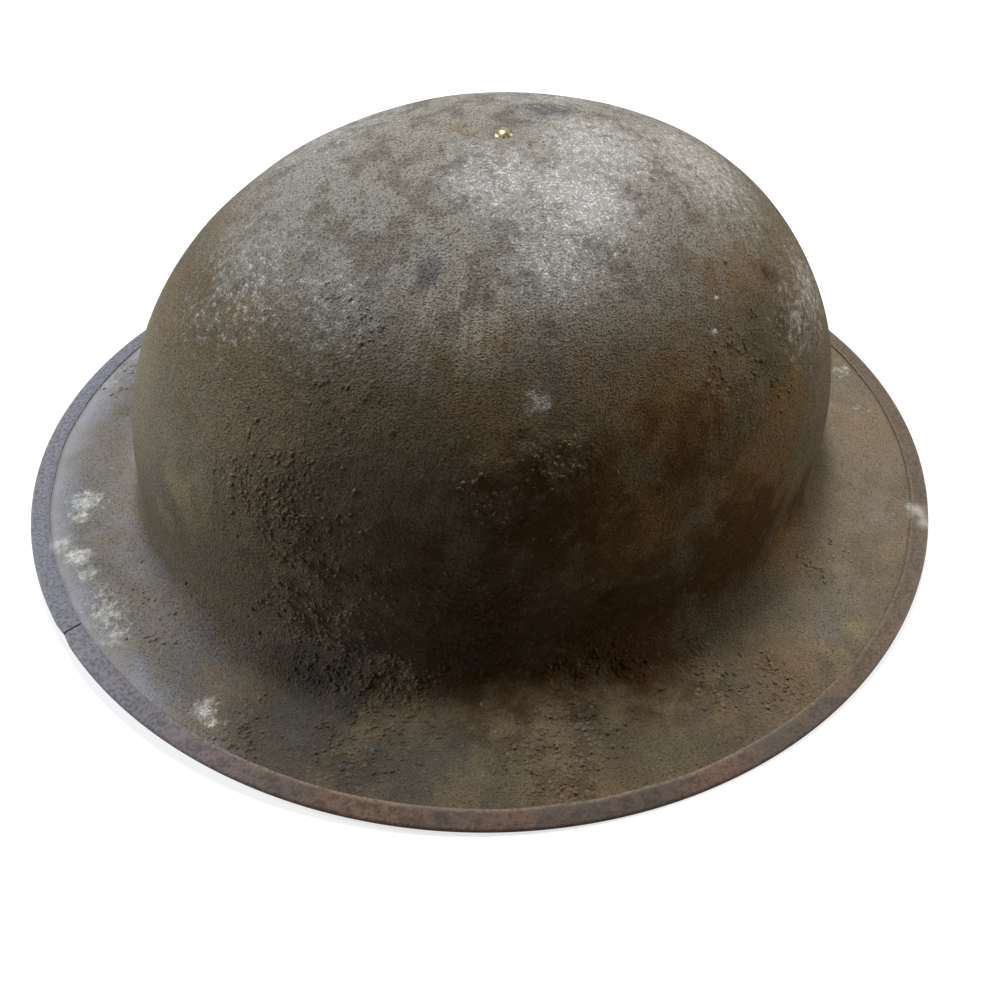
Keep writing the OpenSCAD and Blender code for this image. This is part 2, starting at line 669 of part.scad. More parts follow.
// Flat loop of the given wall round both parts of the strap, centred at s
module strap_loop(s, l, wall) stow() on_stretch() difference() {
    translate([s - l/2, -aperture_out - wall, -half_w - soft_gap - wall])
        cube([l, aperture_out + aperture_in + 2*wall, strap_w + 2*soft_gap + 2*wall]);
    translate([s - l, -aperture_out, -half_w - soft_gap])
        cube([2*l, aperture_out + aperture_in, strap_w + 2*soft_gap]);
}
// Steel slide with a raised grip bar across its outer face
module slide_buckle() color([0.45, 0.42, 0.36]) {
    strap_loop(buckle_at, buckle_l, buckle_t);
    stow() on_stretch() translate([buckle_at, -aperture_out - buckle_t, 0])
        cylinder(d = grip_d, h = strap_w + 2*soft_gap, center = true);
}
module strap_keeper() color([0.34, 0.22, 0.13]) strap_loop(keeper_at, keeper_l, keeper_t);

shell();
rim_band();
crown_rivet();
crown_washer();
crown_pad();
long_crown_strap();
cross_crown_strap();
crown_strap_rivets();
headband();
net();
net_drawstring();
buffer_strip();
rubber_buffers();
buffer_rivets();
left_lug_rivet();
right_lug_rivet();
left_lug();
right_lug();
left_bail();
right_bail();
chinstrap_short();
chinstrap_long();
left_loop_rivet();
right_loop_rivet();
slide_buckle();
strap_keeper();
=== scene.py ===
"""Looks of a steel helmet with a broad brim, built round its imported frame.

The shell, its folded rim band and the brass crown rivet are made again with the
dents, lumps and worn edges of an old helmet. So are the leather, felt, twine and
rubber of the liner and the chinstrap. The small steel fittings keep their frame
meshes and get a finish of their own. Lengths are in metres, +X is the front and
+Y the wearer's left.
"""
import random
from math import asin, atan2, copysign, cos, hypot, pi, radians, sin, sqrt

import bmesh
import bpy
from mathutils import Matrix, Vector, noise
from mathutils.kdtree import KDTree


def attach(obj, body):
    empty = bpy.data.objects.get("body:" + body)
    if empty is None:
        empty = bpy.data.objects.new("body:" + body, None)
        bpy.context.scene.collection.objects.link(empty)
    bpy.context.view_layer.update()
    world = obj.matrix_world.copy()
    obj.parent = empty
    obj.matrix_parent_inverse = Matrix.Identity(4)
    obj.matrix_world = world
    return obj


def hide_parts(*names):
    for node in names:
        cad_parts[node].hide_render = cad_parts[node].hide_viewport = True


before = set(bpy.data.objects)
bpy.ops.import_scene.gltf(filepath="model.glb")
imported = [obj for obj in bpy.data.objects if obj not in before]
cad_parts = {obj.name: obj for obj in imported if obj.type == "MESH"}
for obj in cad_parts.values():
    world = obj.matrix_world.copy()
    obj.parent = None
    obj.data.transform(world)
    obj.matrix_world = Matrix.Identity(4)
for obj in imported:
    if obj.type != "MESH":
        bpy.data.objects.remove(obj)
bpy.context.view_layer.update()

MM = 0.001
TURN = 2*pi
UP = Vector((0, 0, 1))

# Shell and rim band, with the source's sizes
EDGE_A, EDGE_B, EDGE_Z, RIM_RISE = 151.55*MM, 143.05*MM, 1.05*MM, 5.5*MM
FOOT_A, FOOT_B, FOOT_Z = 116.52*MM, 94.55*MM, 19*MM
CROWN_Z, FULLNESS, FLARE_R, STEEL = 123*MM, 2.17, 12*MM, 0.9*MM
BAND_W, HALF_BAND, BAND_IN = 5.2*MM, 0.95*MM, 0.5*MM
JOINT_TURN, JOINT_GAP = radians(194.5), 0.6*MM
TOP_TURN = 3/90                 # half angle of the small flat on the crown

# Liner
HEAD_A, HEAD_B, HEAD_T = 98*MM, 77*MM, 1.6*MM
HEAD_LOW, HEAD_TOP = 40*MM, 68*MM
TUBE_A, TUBE_B, TUBE_Z, TUBE_D, TUBE_L, TUBES = 105.9*MM, 84.725*MM, 48*MM, 11.05*MM, 30*MM, 12
STRIP_W, STRIP_T = 5.5*MM, 1.2*MM
STRAP_W, STRAP_T, TAB_H = 22*MM, 1.6*MM, 15*MM
LONG_TOP, CROSS_TOP, FLAT_HALF, ARCH_POWER = 120.54*MM, 118.89*MM, 14*MM, 1.36
SEAT = 0.15*MM                  # room between pieces that lie on each other
PAD_TOP, PAD_T, PAD_R, PAD_HOLE_R = 116.99*MM, 5*MM, 26*MM, 5.3*MM
NET_Z, NET_RISE, NET_MOUTH, NET_POWER = 69.2*MM, 37.09*MM, 21*MM, 1.8
TWINES, TWINE_D, NET_TWIST = 14, 1.8*MM, radians(75)

# Stowed chinstrap, in the plane through the lug rivets
LUG_Z, TILT = 29*MM, radians(10.3707)
BAR_X, BAR_HALF, LEAN, STRETCH = -20.149*MM, 82.056*MM, radians(22.4215), 68.167*MM
WIRE_D, EYE_GAP, REACH_BACK = 2.4*MM, 0.25*MM, 106.619*MM
CHIN_W, CHIN_T, CHIN_SOFT = 19*MM, 1.8*MM, 0.3*MM
TAIL_AT, FOLD_END, SHORT_SPARE = 17*MM, 14*MM, 3*MM
KEEPER_AT, KEEPER_L, KEEPER_T = 22*MM, 8*MM, 1.4*MM
BUCKLE_AT, BUCKLE_L, BUCKLE_T = 48*MM, 12*MM, 1*MM


# ---------- Camera, floor and light ----------

def set_camera():
    """Looks down on the wearer's right side, a little from behind."""
    low, turn, roll, distance = 0.787, -0.408, 0.05336, 333.70
    away = Vector((sin(turn)*cos(low), -cos(turn)*cos(low), sin(low)))
    aim = Vector((-20.063, -57.452, 40.5))*MM
    side = (-away).cross(UP).normalized()
    top = away.cross(side)
    right = side*cos(roll) + top*sin(roll)
    up = top*cos(roll) - side*sin(roll)
    data = bpy.data.cameras.new("camera")
    data.sensor_width, data.lens = 36, 41.436
    data.clip_start, data.clip_end = 0.01, 20
    camera = bpy.data.objects.new("camera", data)
    axes = Matrix((right, up, away)).transposed().to_4x4()
    camera.matrix_world = Matrix.Translation(aim + away*distance*MM) @ axes
    bpy.context.collection.objects.link(camera)
    bpy.context.scene.camera = camera


def hang_lamp(name, towards, distance, width, height, power, colour):
    """Soft lamp in the given direction from the helmet, facing it."""
    data = bpy.data.lights.new(name, "AREA")
    data.shape, data.size, data.size_y = "RECTANGLE", width, height
    data.energy, data.color = power, colour
    lamp = bpy.data.objects.new(name, data)
    way = Vector(towards).normalized()
    place = way*distance + Vector((0, 0, 50*MM))
    axes = way.to_track_quat("Z", "Y").to_matrix().to_4x4()
    lamp.matrix_world = Matrix.Translation(place) @ axes
    bpy.context.collection.objects.link(lamp)


# ---------- Node helpers ----------

def feed(socket, value):
    """Links the socket to another one, or gives it a value."""
    if isinstance(value, bpy.types.NodeSocket):
        socket.id_data.links.new(value, socket)
    else:
        socket.default_value = value


def put(near, kind, inputs, **settings):
    """Adds a shader node to a tree, given itself or by a node or socket in it. The
    inputs are values, or sockets to link."""
    node = near.id_data.nodes.new("ShaderNode" + kind)
    for name, value in settings.items():
        setattr(node, name, value)
    for name, value in inputs.items():
        feed(node.inputs[name], value)
    return node


def socket_of(*values):
    return next(value for value in values if isinstance(value, bpy.types.NodeSocket))


def reckon(way, a, b, clamp=False):
    return put(socket_of(a, b), "Math", {0: a, 1: b}, operation=way, use_clamp=clamp).outputs[0]


def plus(a, b, clamp=False):
    return reckon("ADD", a, b, clamp)


def times(a, b):
    return reckon("MULTIPLY", a, b)


def highest(a, b):
    return reckon("MAXIMUM", a, b)


def swing(fac, share):
    """Brings a value of 0 to 1 to a swing about zero."""
    return times(reckon("SUBTRACT", fac, 0.5), share)


def stretch(value, low, high, to_low=0.0, to_high=1.0):
    """Smooth step of value from low to high."""
    ends = {"From Min": low, "From Max": high, "To Min": to_low, "To Max": to_high}
    return put(value, "MapRange", {"Value": value, **ends},
               interpolation_type="SMOOTHSTEP").outputs[0]


def tint(share, under, over, way="MIX"):
    """Lays the colour over on the colour under."""
    def full(shade):
        return (*shade, 1) if isinstance(shade, tuple) else shade

    return put(socket_of(share, under), "Mix", {0: share, 6: full(under), 7: full(over)},
               data_type="RGBA", blend_type=way).outputs[2]


def lay(colour, mask, share, over):
    """Lays the colour over by a share of the mask."""
    return tint(times(mask, share), colour, over)


def clouds(point, scale, detail, **more):
    """Noise of 0 to 1 at the point."""
    return put(point, "TexNoise", {"Vector": point, "Scale": scale, "Detail": detail,
               **more}).outputs["Fac"]


def edges_of_cells(point, scale):
    """Distance from the edges of irregular cells."""
    return put(point, "TexVoronoi", {"Vector": point, "Scale": scale},
               feature="DISTANCE_TO_EDGE").outputs["Distance"]


def start_group(name, inputs, outputs):
    """Node group with a point and some numbers, given with their defaults."""
    tree = bpy.data.node_groups.new(name, "ShaderNodeTree")
    tree.interface.new_socket("Point", in_out="INPUT", socket_type="NodeSocketVector")
    for socket, value in inputs.items():
        tree.interface.new_socket(socket, in_out="INPUT",
                                  socket_type="NodeSocketFloat").default_value = value
    for socket in outputs:
        tree.interface.new_socket(socket, in_out="OUTPUT", socket_type="NodeSocketFloat")
    return (tree, tree.nodes.new("NodeGroupInput").outputs,
            tree.nodes.new("NodeGroupOutput").inputs)


def use(group, point, **inputs):
    """Places a node group at the point."""
    node = put(point, "Group", {}, node_tree=group)
    for name, value in {"Point": point, **inputs}.items():
        feed(node.inputs[name], value)
    return node.outputs


def make_mottle():
    """Cloudy mask: patches of the given size in mm, cut between Low and High."""
    tree, given, made = start_group(
        "Mottle", {"Size": 5.0, "Detail": 3.0, "Low": 0.4, "High": 0.6}, ("Mask", "Cloud"))
    patches = clouds(given["Point"], reckon("DIVIDE", 1000.0, given["Size"]), given["Detail"],
                     Roughness=0.6)
    feed(made["Mask"], stretch(patches, given["Low"], given["High"]))
    feed(made["Cloud"], patches)
    return tree


def make_sand():
    """Sand under paint: height in mm, with masks of painted shade in the pits and between clods
    and of painted highlight on the tops. Coarse heaps clods on it, Smooth rubs the grain away."""
    tree, given, made = start_group("Sand grain", {"Coarse": 0.0, "Smooth": 0.0},
                                    ("Height", "Pit shade", "Top highlight"))

    def rough(scale, detail):
        return clouds(given["Point"], scale, detail, Roughness=0.62)

    def knobs(scale, fewest, most):
        """Round lumps of uneven height, some of them missing."""
        cells = put(tree, "TexVoronoi", {"Vector": given["Point"], "Scale": scale}).outputs
        return times(stretch(cells["Distance"], 0.66, 0.08), stretch(cells["Color"], fewest, most))

    grain = plus(swing(knobs(2100.0, 0.2, 0.9), 0.16), swing(rough(1700.0, 2.0), 0.50))
    grain = times(grain, stretch(given["Smooth"], 0.0, 1.0, 1.0, 0.35))
    crowd = times(stretch(rough(80.0, 3.0), 0.38, 0.56), given["Coarse"])
    clods = plus(knobs(640.0, 0.36, 0.60), times(knobs(1250.0, 0.36, 0.60), 0.5))
    clods = times(clods, crowd)
    # Painted shade between the clods
    shaded_gaps = times(stretch(clods, 0.30, 0.05), crowd)
    feed(made["Height"], plus(plus(grain, swing(rough(230.0, 3.0), 0.18)), times(clods, 0.70)))
    # The pits mask darkens pits and gaps as painted shade; the tops mask lightens grain and clod
    # tops as painted highlight
    feed(made["Pit shade"], highest(stretch(grain, -0.03, -0.16), times(shaded_gaps, 0.6)))
    feed(made["Top highlight"], plus(stretch(grain, 0.02, 0.16), times(clods, 0.5), True))
    return tree


def make_hide():
    """Leather: creased grain height and a mask of the rubbed, darker places."""
    tree, given, made = start_group("Hide", {"Size": 1.3}, ("Height", "Rubbed"))
    point = given["Point"]
    cells = edges_of_cells(point, reckon("DIVIDE", 1000.0, given["Size"]))
    creases = clouds(point, 160.0, 5.0, Distortion=0.8)
    feed(made["Height"], plus(stretch(cells, 0.0, 0.16, 0.0, 0.5), times(creases, 0.9)))
    feed(made["Rubbed"], stretch(clouds(point, 45.0, 6.0, Roughness=0.65), 0.42, 0.66))
    return tree


mottle, sand, hide = make_mottle(), make_sand(), make_hide()


def start_finish(name):
    """New material: the material, the object's own point and the shader."""
    material = bpy.data.materials.new(name)
    material.use_nodes = True
    tree = material.node_tree
    tree.nodes.clear()
    shader = put(tree, "BsdfPrincipled", {})
    put(tree, "OutputMaterial", {"Surface": shader.outputs[0]})
    return material, put(tree, "TexCoord", {}).outputs["Object"], shader


def close_finish(shader, colour, roughness, height, depth, more):
    """Gives the shader its colour, its roughness, a bump of that depth and more."""
    bump = put(shader, "Bump", {"Height": height, "Distance": depth}).outputs[0]
    given = {"Base Color": colour, "Roughness": roughness, "Normal": bump, **more}
    for name, value in given.items():
        feed(shader.inputs[name], value)


def wear(point, name):
    """Wear, stains and painted shade, sheen and highlight that the mesh carries at its vertices.
    """
    return put(point, "Attribute", {}, attribute_name=name).outputs["Fac"]


def ragged(point, name, fray, low, high):
    """A placed mark (a stain, painted shade, painted sheen, painted highlight), its edge torn by
    the fray.
    """
    return stretch(plus(wear(point, name), fray), low, high)


# ---------- Finishes ----------

def pale_colour(point, back, front):
    """Colour of the dusty film and its painted sheen, cool at the back and warm at the front, like
    the lamps on those sides.
    """
    along = put(point, "SeparateXYZ", {"Vector": point}).outputs["X"]
    return tint(stretch(along, -60*MM, 40*MM), back, front)


def sanded_paint():
    """Dark olive-brown paint over sand, dusty on top, rubbed, stained and spotted, with painted
    shade, sheen and highlights.
    """
    material, point, shader = start_finish("sanded paint")
    down, dust_sheen, rubbed = wear(point, "down"), wear(point, "dust_sheen"), wear(point, "rubbed")
    low_down = stretch(down, 8.5*MM, 11.0*MM, 0.0, 0.35)
    grain = use(sand, point, Coarse=wear(point, "coarse"),
                Smooth=highest(times(rubbed, 0.5), highest(dust_sheen, low_down)))
    broad = use(mottle, point, Size=38.0, Detail=4.0, Low=0.40, High=0.62)
    spots = use(mottle, point, Size=9.0, Detail=5.0, Low=0.46, High=0.60)
    specks = use(mottle, point, Size=2.2, Detail=3.0, Low=0.50, High=0.64)
    torn, frayed = swing(spots["Cloud"], 1.6), swing(specks["Cloud"], 1.6)

    # Paint with its dust and spots, then stains and painted shade and sheen: name, low and high
    # end of their edge, strength and colour
    colour = tint(broad["Mask"], (0.120, 0.090, 0.056), (0.082, 0.068, 0.043))
    colour = tint(ragged(point, "dust", torn, 0.1, 0.9), colour, (0.212, 0.202, 0.180))
    colour = lay(colour, spots["Mask"], 0.5, (0.066, 0.053, 0.036))
    for name, low, high, strength, stain in (
            ("warm", 0.20, 0.95, 0.85, (0.150, 0.083, 0.028)),
            # Grime with painted shade at the dome's foot and round its bend
            ("grime_and_shade", 0.15, 0.85, 0.97, (0.042, 0.019, 0.004)),
            # Painted shade, mostly on the brim at the back right and right
            ("dark", 0.15, 1.0, 0.85, (0.050, 0.047, 0.040)),
            # Bluish patches, with painted sheen on the brim's edge at the back
            ("cool", 0.35, 0.9, 0.7, (0.085, 0.090, 0.098)),
            ("ochre", 0.3, 1.0, 0.6, (0.250, 0.195, 0.095))):
        colour = lay(colour, ragged(point, name, torn, low, high), strength, stain)

    # Pale dusty film with painted sheen: olive on the dome's wall, cool or warm on the brim
    pale = pale_colour(point, (0.262, 0.270, 0.292), (0.275, 0.240, 0.195))
    pale = tint(stretch(down, 5.5*MM, 8.0*MM), (0.235, 0.222, 0.175), pale)
    film = stretch(plus(dust_sheen, swing(spots["Cloud"], 0.5)), 0.0, 1.0)
    colour = lay(colour, film, 0.95, pale)

    # Brushed streaks, painted shade in the sand's pits, painted highlight on its tops and on the
    # upper sides of its loose clods
    def lighter(shade):
        return tint(1.0, shade, (2.1, 2.0, 1.85), "MULTIPLY")

    across = put(point, "CombineXYZ", {"X": wear(point, "turn"), "Y": down}).outputs[0]
    streaks = times(stretch(clouds(across, 600.0, 2.0), 0.50, 0.60), wear(point, "brushed"))
    colour = lay(colour, streaks, 0.4, lighter(colour))
    colour = lay(colour, grain["Pit shade"], 0.72, (0.022, 0.014, 0.007))
    colour = lay(colour, grain["Top highlight"], 0.70, lighter(colour))
    # Painted highlight on the upper sides of the clods
    colour = lay(colour, wear(point, "clod"), 0.6, lighter(colour))

    # Bare steel where hands rubbed, with painted glints on it, and chalky spots
    bare = ragged(point, "rubbed", frayed, 0.10, 1.10)
    colour = lay(colour, bare, 0.40, (0.270, 0.280, 0.290))
    painted_glints = times(bare, stretch(clouds(point, 1500.0, 1.0), 0.54, 0.66))
    colour = lay(colour, painted_glints, 0.7, (0.640, 0.650, 0.650))
    chalk = times(ragged(point, "chalk", frayed, 0.35, 1.35),
                  stretch(grain["Pit shade"], 0.0, 1.0, 1.0, 0.3))
    colour = lay(colour, chalk, 0.80, (0.58, 0.59, 0.57))
    roughness = plus(stretch(bare, 0.0, 1.0, 0.66, 0.42), times(grain["Pit shade"], 0.25))
    roughness = plus(roughness, times(chalk, 0.3), True)
    close_finish(shader, colour, roughness, grain["Height"], 1.0*MM,
                 {"Specular IOR Level": stretch(bare, 0.0, 1.0, 0.04, 0.5)})
    return material


def worn_band():
    """Grey-brown steel strip, its paint worn off along the fold, with a painted highlight along
    the lip and a dusty film with painted sheen.
    """
    material, point, shader = start_finish("worn band")
    broad = use(mottle, point, Size=26.0, Detail=4.0, Low=0.38, High=0.64)
    spots = use(mottle, point, Size=4.0, Detail=5.0, Low=0.46, High=0.62)
    fine = use(mottle, point, Size=1.0, Detail=3.0, Low=0.42, High=0.64)
    torn = swing(spots["Cloud"], 1.4)
    pale = pale_colour(point, (0.165, 0.175, 0.215), (0.170, 0.140, 0.105))
    colour = tint(broad["Mask"], (0.092, 0.052, 0.034), (0.046, 0.036, 0.030))
    for mask, strength, stain in (
            (spots["Mask"], 0.7, (0.026, 0.016, 0.011)),
            (ragged(point, "fold", torn, 0.5, 1.0), 0.25, (0.110, 0.080, 0.060)),
            # Painted highlight along the band's upper inner edge
            (ragged(point, "lip_highlight", torn, 0.4, 0.9), 0.5, (0.200, 0.160, 0.120)),
            # Dusty film with painted sheen, cool at the back and warm at the front
            (wear(point, "cool"), 0.95, pale),
            (fine["Mask"], 0.55, (0.040, 0.030, 0.024)),
            (ragged(point, "chalk", torn, 0.3, 1.1), 0.6, (0.50, 0.49, 0.46))):
        colour = lay(colour, mask, strength, stain)
    close_finish(shader, colour, stretch(spots["Cloud"], 0.3, 0.7, 0.45, 0.62),
                 plus(spots["Cloud"], times(fine["Cloud"], 0.5)), 0.45*MM,
                 {"Specular IOR Level": 0.15})
    return material


def old_metal(name, bright, dull, metallic, roughness, size=2.5, sheen=0.5):
    """Metal that is dull in patches, with fine scratches."""
    material, point, shader = start_finish(name)
    stain = use(mottle, point, Size=size, Detail=5.0, Low=0.42, High=0.62)
    drawn = put(point, "Mapping", {"Vector": point, "Scale": (1.0, 0.15, 1.0)}).outputs[0]
    close_finish(shader, tint(stain["Mask"], bright, dull),
                 stretch(stain["Cloud"], 0.3, 0.7, roughness, min(1.0, roughness + 0.3)),
                 plus(stain["Cloud"], times(clouds(drawn, 2600.0, 2.0), 0.25)), 0.12*MM,
                 {"Metallic": metallic, "Specular IOR Level": sheen})
    return material


def old_leather(name, light, dark, size=1.3):
    """Dry leather with creased grain, dark where hands and sweat rubbed it."""
    material, point, shader = start_finish(name)
    skin_grain = use(hide, point, Size=size)
    shades = use(mottle, point, Size=14.0, Detail=5.0, Low=0.38, High=0.66)
    cracks = use(mottle, point, Size=3.0, Detail=6.0, Low=0.60, High=0.66)
    colour = tint(shades["Mask"], light, dark)
    colour = lay(colour, skin_grain["Rubbed"], 0.5, tuple(0.45*value for value in dark))
    colour = lay(colour, cracks["Mask"], 0.5, tuple(1.7*value for value in light))
    close_finish(shader, colour, stretch(skin_grain["Rubbed"], 0.0, 1.0, 0.72, 0.48),
                 skin_grain["Height"], 0.22*MM, {})
    return material


def pressed_felt():
    """Grey-brown felt with loose hair in its nap."""
    material, point, shader = start_finish("pressed felt")
    nap = clouds(point, 1400.0, 5.0, Roughness=0.8, Distortion=2.2)
    shades = use(mottle, point, Size=10.0, Detail=4.0, Low=0.40, High=0.64)
    colour = tint(shades["Mask"], (0.150, 0.128, 0.100), (0.105, 0.090, 0.070))
    colour = tint(stretch(nap, 0.45, 0.7), colour, (0.215, 0.190, 0.155))
    close_finish(shader, colour, stretch(nap, 0.2, 0.8, 0.85, 1.0), nap, 0.5*MM,
                 {"Sheen Weight": 0.25})
    return material


def twisted_twine(name, light, dark):
    """Cotton twine: dusty and hairy."""
    material, point, shader = start_finish(name)
    hair = clouds(point, 2600.0, 3.0, Roughness=0.7)
    shades = use(mottle, point, Size=16.0, Detail=4.0, Low=0.38, High=0.66)
    colour = tint(stretch(hair, 0.55, 0.75), tint(shades["Mask"], light, dark),
                  tuple(1.35*value for value in light))
    close_finish(shader, colour, stretch(hair, 0.2, 0.8, 0.8, 1.0), hair, 0.2*MM,
                 {"Sheen Weight": 0.2})
    return material


def old_rubber():
    """Black rubber with a grey bloom and fine cracks."""
    material, point, shader = start_finish("old rubber")
    bloom = use(mottle, point, Size=8.0, Detail=6.0, Low=0.45, High=0.70)
    crack = stretch(edges_of_cells(point, 420.0), 0.05, 0.0)
    colour = tint(times(bloom["Mask"], 0.6), (0.028, 0.027, 0.026), (0.085, 0.082, 0.076))
    colour = lay(colour, crack, 0.6, (0.010, 0.010, 0.010))
    close_finish(shader, colour, stretch(bloom["Cloud"], 0.3, 0.7, 0.62, 0.85),
                 reckon("SUBTRACT", bloom["Cloud"], crack), 0.15*MM, {})
    return material


# ---------- Mesh helpers ----------

def finish_mesh(name, bm, material, body, slot, *nodes, sharp=40):
    """Makes the bmesh an object that rides on a body in place of frame nodes."""
    bmesh.ops.recalc_face_normals(bm, faces=bm.faces)
    mesh = bpy.data.meshes.new(name)
    bm.to_mesh(mesh)
    bm.free()
    mesh.materials.append(material)
    mesh.shade_smooth()
    mesh.set_sharp_from_angle(angle=radians(sharp))
    piece = bpy.data.objects.new(name, mesh)
    bpy.context.collection.objects.link(piece)
    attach(piece, body)
    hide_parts(*nodes)
    return piece


def chain(bm, points):
    """Open line of vertices with its edges."""
    verts = [bm.verts.new(point) for point in points]
    return verts, [bm.edges.new(pair) for pair in zip(verts, verts[1:])]


def loop_of(bm, points):
    """Closed line of vertices with its edges."""
    verts, edges = chain(bm, points)
    return verts, edges + [bm.edges.new((verts[-1], verts[0]))]


def spin_round(bm, geom, steps):
    """Turns a line all the way about Z."""
    bmesh.ops.spin(bm, geom=geom, cent=(0, 0, 0), axis=(0, 0, 1), dvec=(0, 0, 0),
                   angle=TURN, steps=steps, use_merge=True)
    bmesh.ops.remove_doubles(bm, verts=bm.verts, dist=1e-7)


def join(bm, part):
    """Moves the part's mesh into bm."""
    spare = bpy.data.meshes.new("spare")
    part.to_mesh(spare)
    part.free()
    bm.from_mesh(spare)
    bpy.data.meshes.remove(spare)


def sweep(bm, outline, stations, closed=False):
    """Carries a closed outline in the XY plane through a row of matrices."""
    part = bmesh.new()
    verts, ring = loop_of(part, [Vector((x, y, 0)) for x, y in outline])
    bmesh.ops.spin(part, geom=verts + ring, cent=(0, 0, 0), axis=(0, 0, 1), dvec=(0, 0, 1),
                   angle=0, steps=len(stations) - 1, use_merge=False)
    ends = [edge for edge in part.edges if edge.is_boundary]
    if closed:
        bmesh.ops.bridge_loops(part, edges=ends)
    else:
        bmesh.ops.holes_fill(part, edges=ends, sides=0)
    for vert in part.verts:
        vert.co = stations[round(vert.co.z)] @ Vector((vert.co.x, vert.co.y, 0))
    join(bm, part)


def stations_along(points, width_way, closed=False, twist=0.0):
    """Matrices along a line: X follows width_way and Z the line."""
    made, count = [], len(points)
    for i, point in enumerate(points):
        ahead = points[(i + 1) % count] if closed else points[min(i + 1, count - 1)]
        behind = points[i - 1] if closed else points[max(i - 1, 0)]
        along = (ahead - behind).normalized()
        way = width_way(point) if callable(width_way) else width_way
        wide = (way - along*way.dot(along)).normalized()
        turn = Matrix.Rotation(twist*i, 3, "Z")
        made.append(Matrix.Translation(point)
                    @ (Matrix((wide, along.cross(wide), along)).transposed() @ turn).to_4x4())
    return made


def rounded_strip(width, thick, corner=0.4):
    """Outline of a strip of leather, its long edges rounded."""
    r = thick*corner
    outline = []
    for sx, sy, start in ((1, 1, 0), (-1, 1, 90), (-1, -1, 180), (1, -1, 270)):
        for angle in (0, 45, 90):
            a = radians(start + angle)
            outline.append((sx*(width/2 - r) + r*cos(a), sy*(thick/2 - r) + r*sin(a)))
    return outline


def only_verts(geom):
    return [item for item in geom if isinstance(item, bmesh.types.BMVert)]


def smooth_step(value):
    value = min(1.0, max(0.0, value))
    return value*value*(3 - 2*value)


def cloud(point, size, seed=0.0):
    """Even noise from -1 to 1 with patches of the given size."""
    return noise.noise(point/size + Vector((seed, seed*1.7, -seed)))


def add_layers(bm, *names):
    """Layers for wear at the vertices, by name."""
    for name in names:
        bm.verts.layers.float.new(name)
    return bm.verts.layers.float


# ---------- Shell ----------

def rim_point(t):
    return Vector((EDGE_A*cos(t), EDGE_B*sin(t), EDGE_Z + RIM_RISE*cos(t)**2))


def dome_point(u, t):
    share = sin(u*pi/2)**(2/FULLNESS)
    rise = max(0.0, cos(u*pi/2))**(2/FULLNESS)
    return Vector((FOOT_A*cos(t)*share, FOOT_B*sin(t)*share,
                   FOOT_Z + (CROWN_Z - FOOT_Z)*rise))


def bend_point(u, t):
    foot = Vector((FOOT_A*cos(t), FOOT_B*sin(t), FOOT_Z))
    way = rim_point(t) - foot
    drop, way.z = way.z, 0.0
    reach = way.length
    run = reach - FLARE_R
    last = 1.5*pi + atan2(drop, run) + asin(FLARE_R/hypot(run, drop))
    turn = pi + (last - pi)*(u - 1)
    return foot + way/reach*(FLARE_R + FLARE_R*cos(turn)) + FLARE_R*sin(turn)*UP


def skin(u, t):
    """Outer skin: u is 0 to 1 down the dome, to 2 round the bend, to 3 on the brim."""
    if u <= 1:
        return dome_point(max(u, 0.001), t)
    if u <= 2:
        return bend_point(u, t)
    return bend_point(2, t)*(3 - u) + rim_point(t)*(u - 2)


def skin_way(u, t):
    return (skin(min(u + 0.01, 3), t) - skin(max(u - 0.01, 0), t)).normalized()


def skin_out(u, t):
    if u <= TOP_TURN:
        return UP
    return skin_way(u, t).cross(skin(u, t + 0.017) - skin(u, t - 0.017)).normalized()


SHELL_ROWS = (104, 14, 24)              # on the dome, the bend and the brim
SHELL_ROUND, BAND_ROUND = 456, 420      # steps round
DOUBLINGS, BALL_STEP = 11, 4            # 2048 clods, laid out this far apart at first
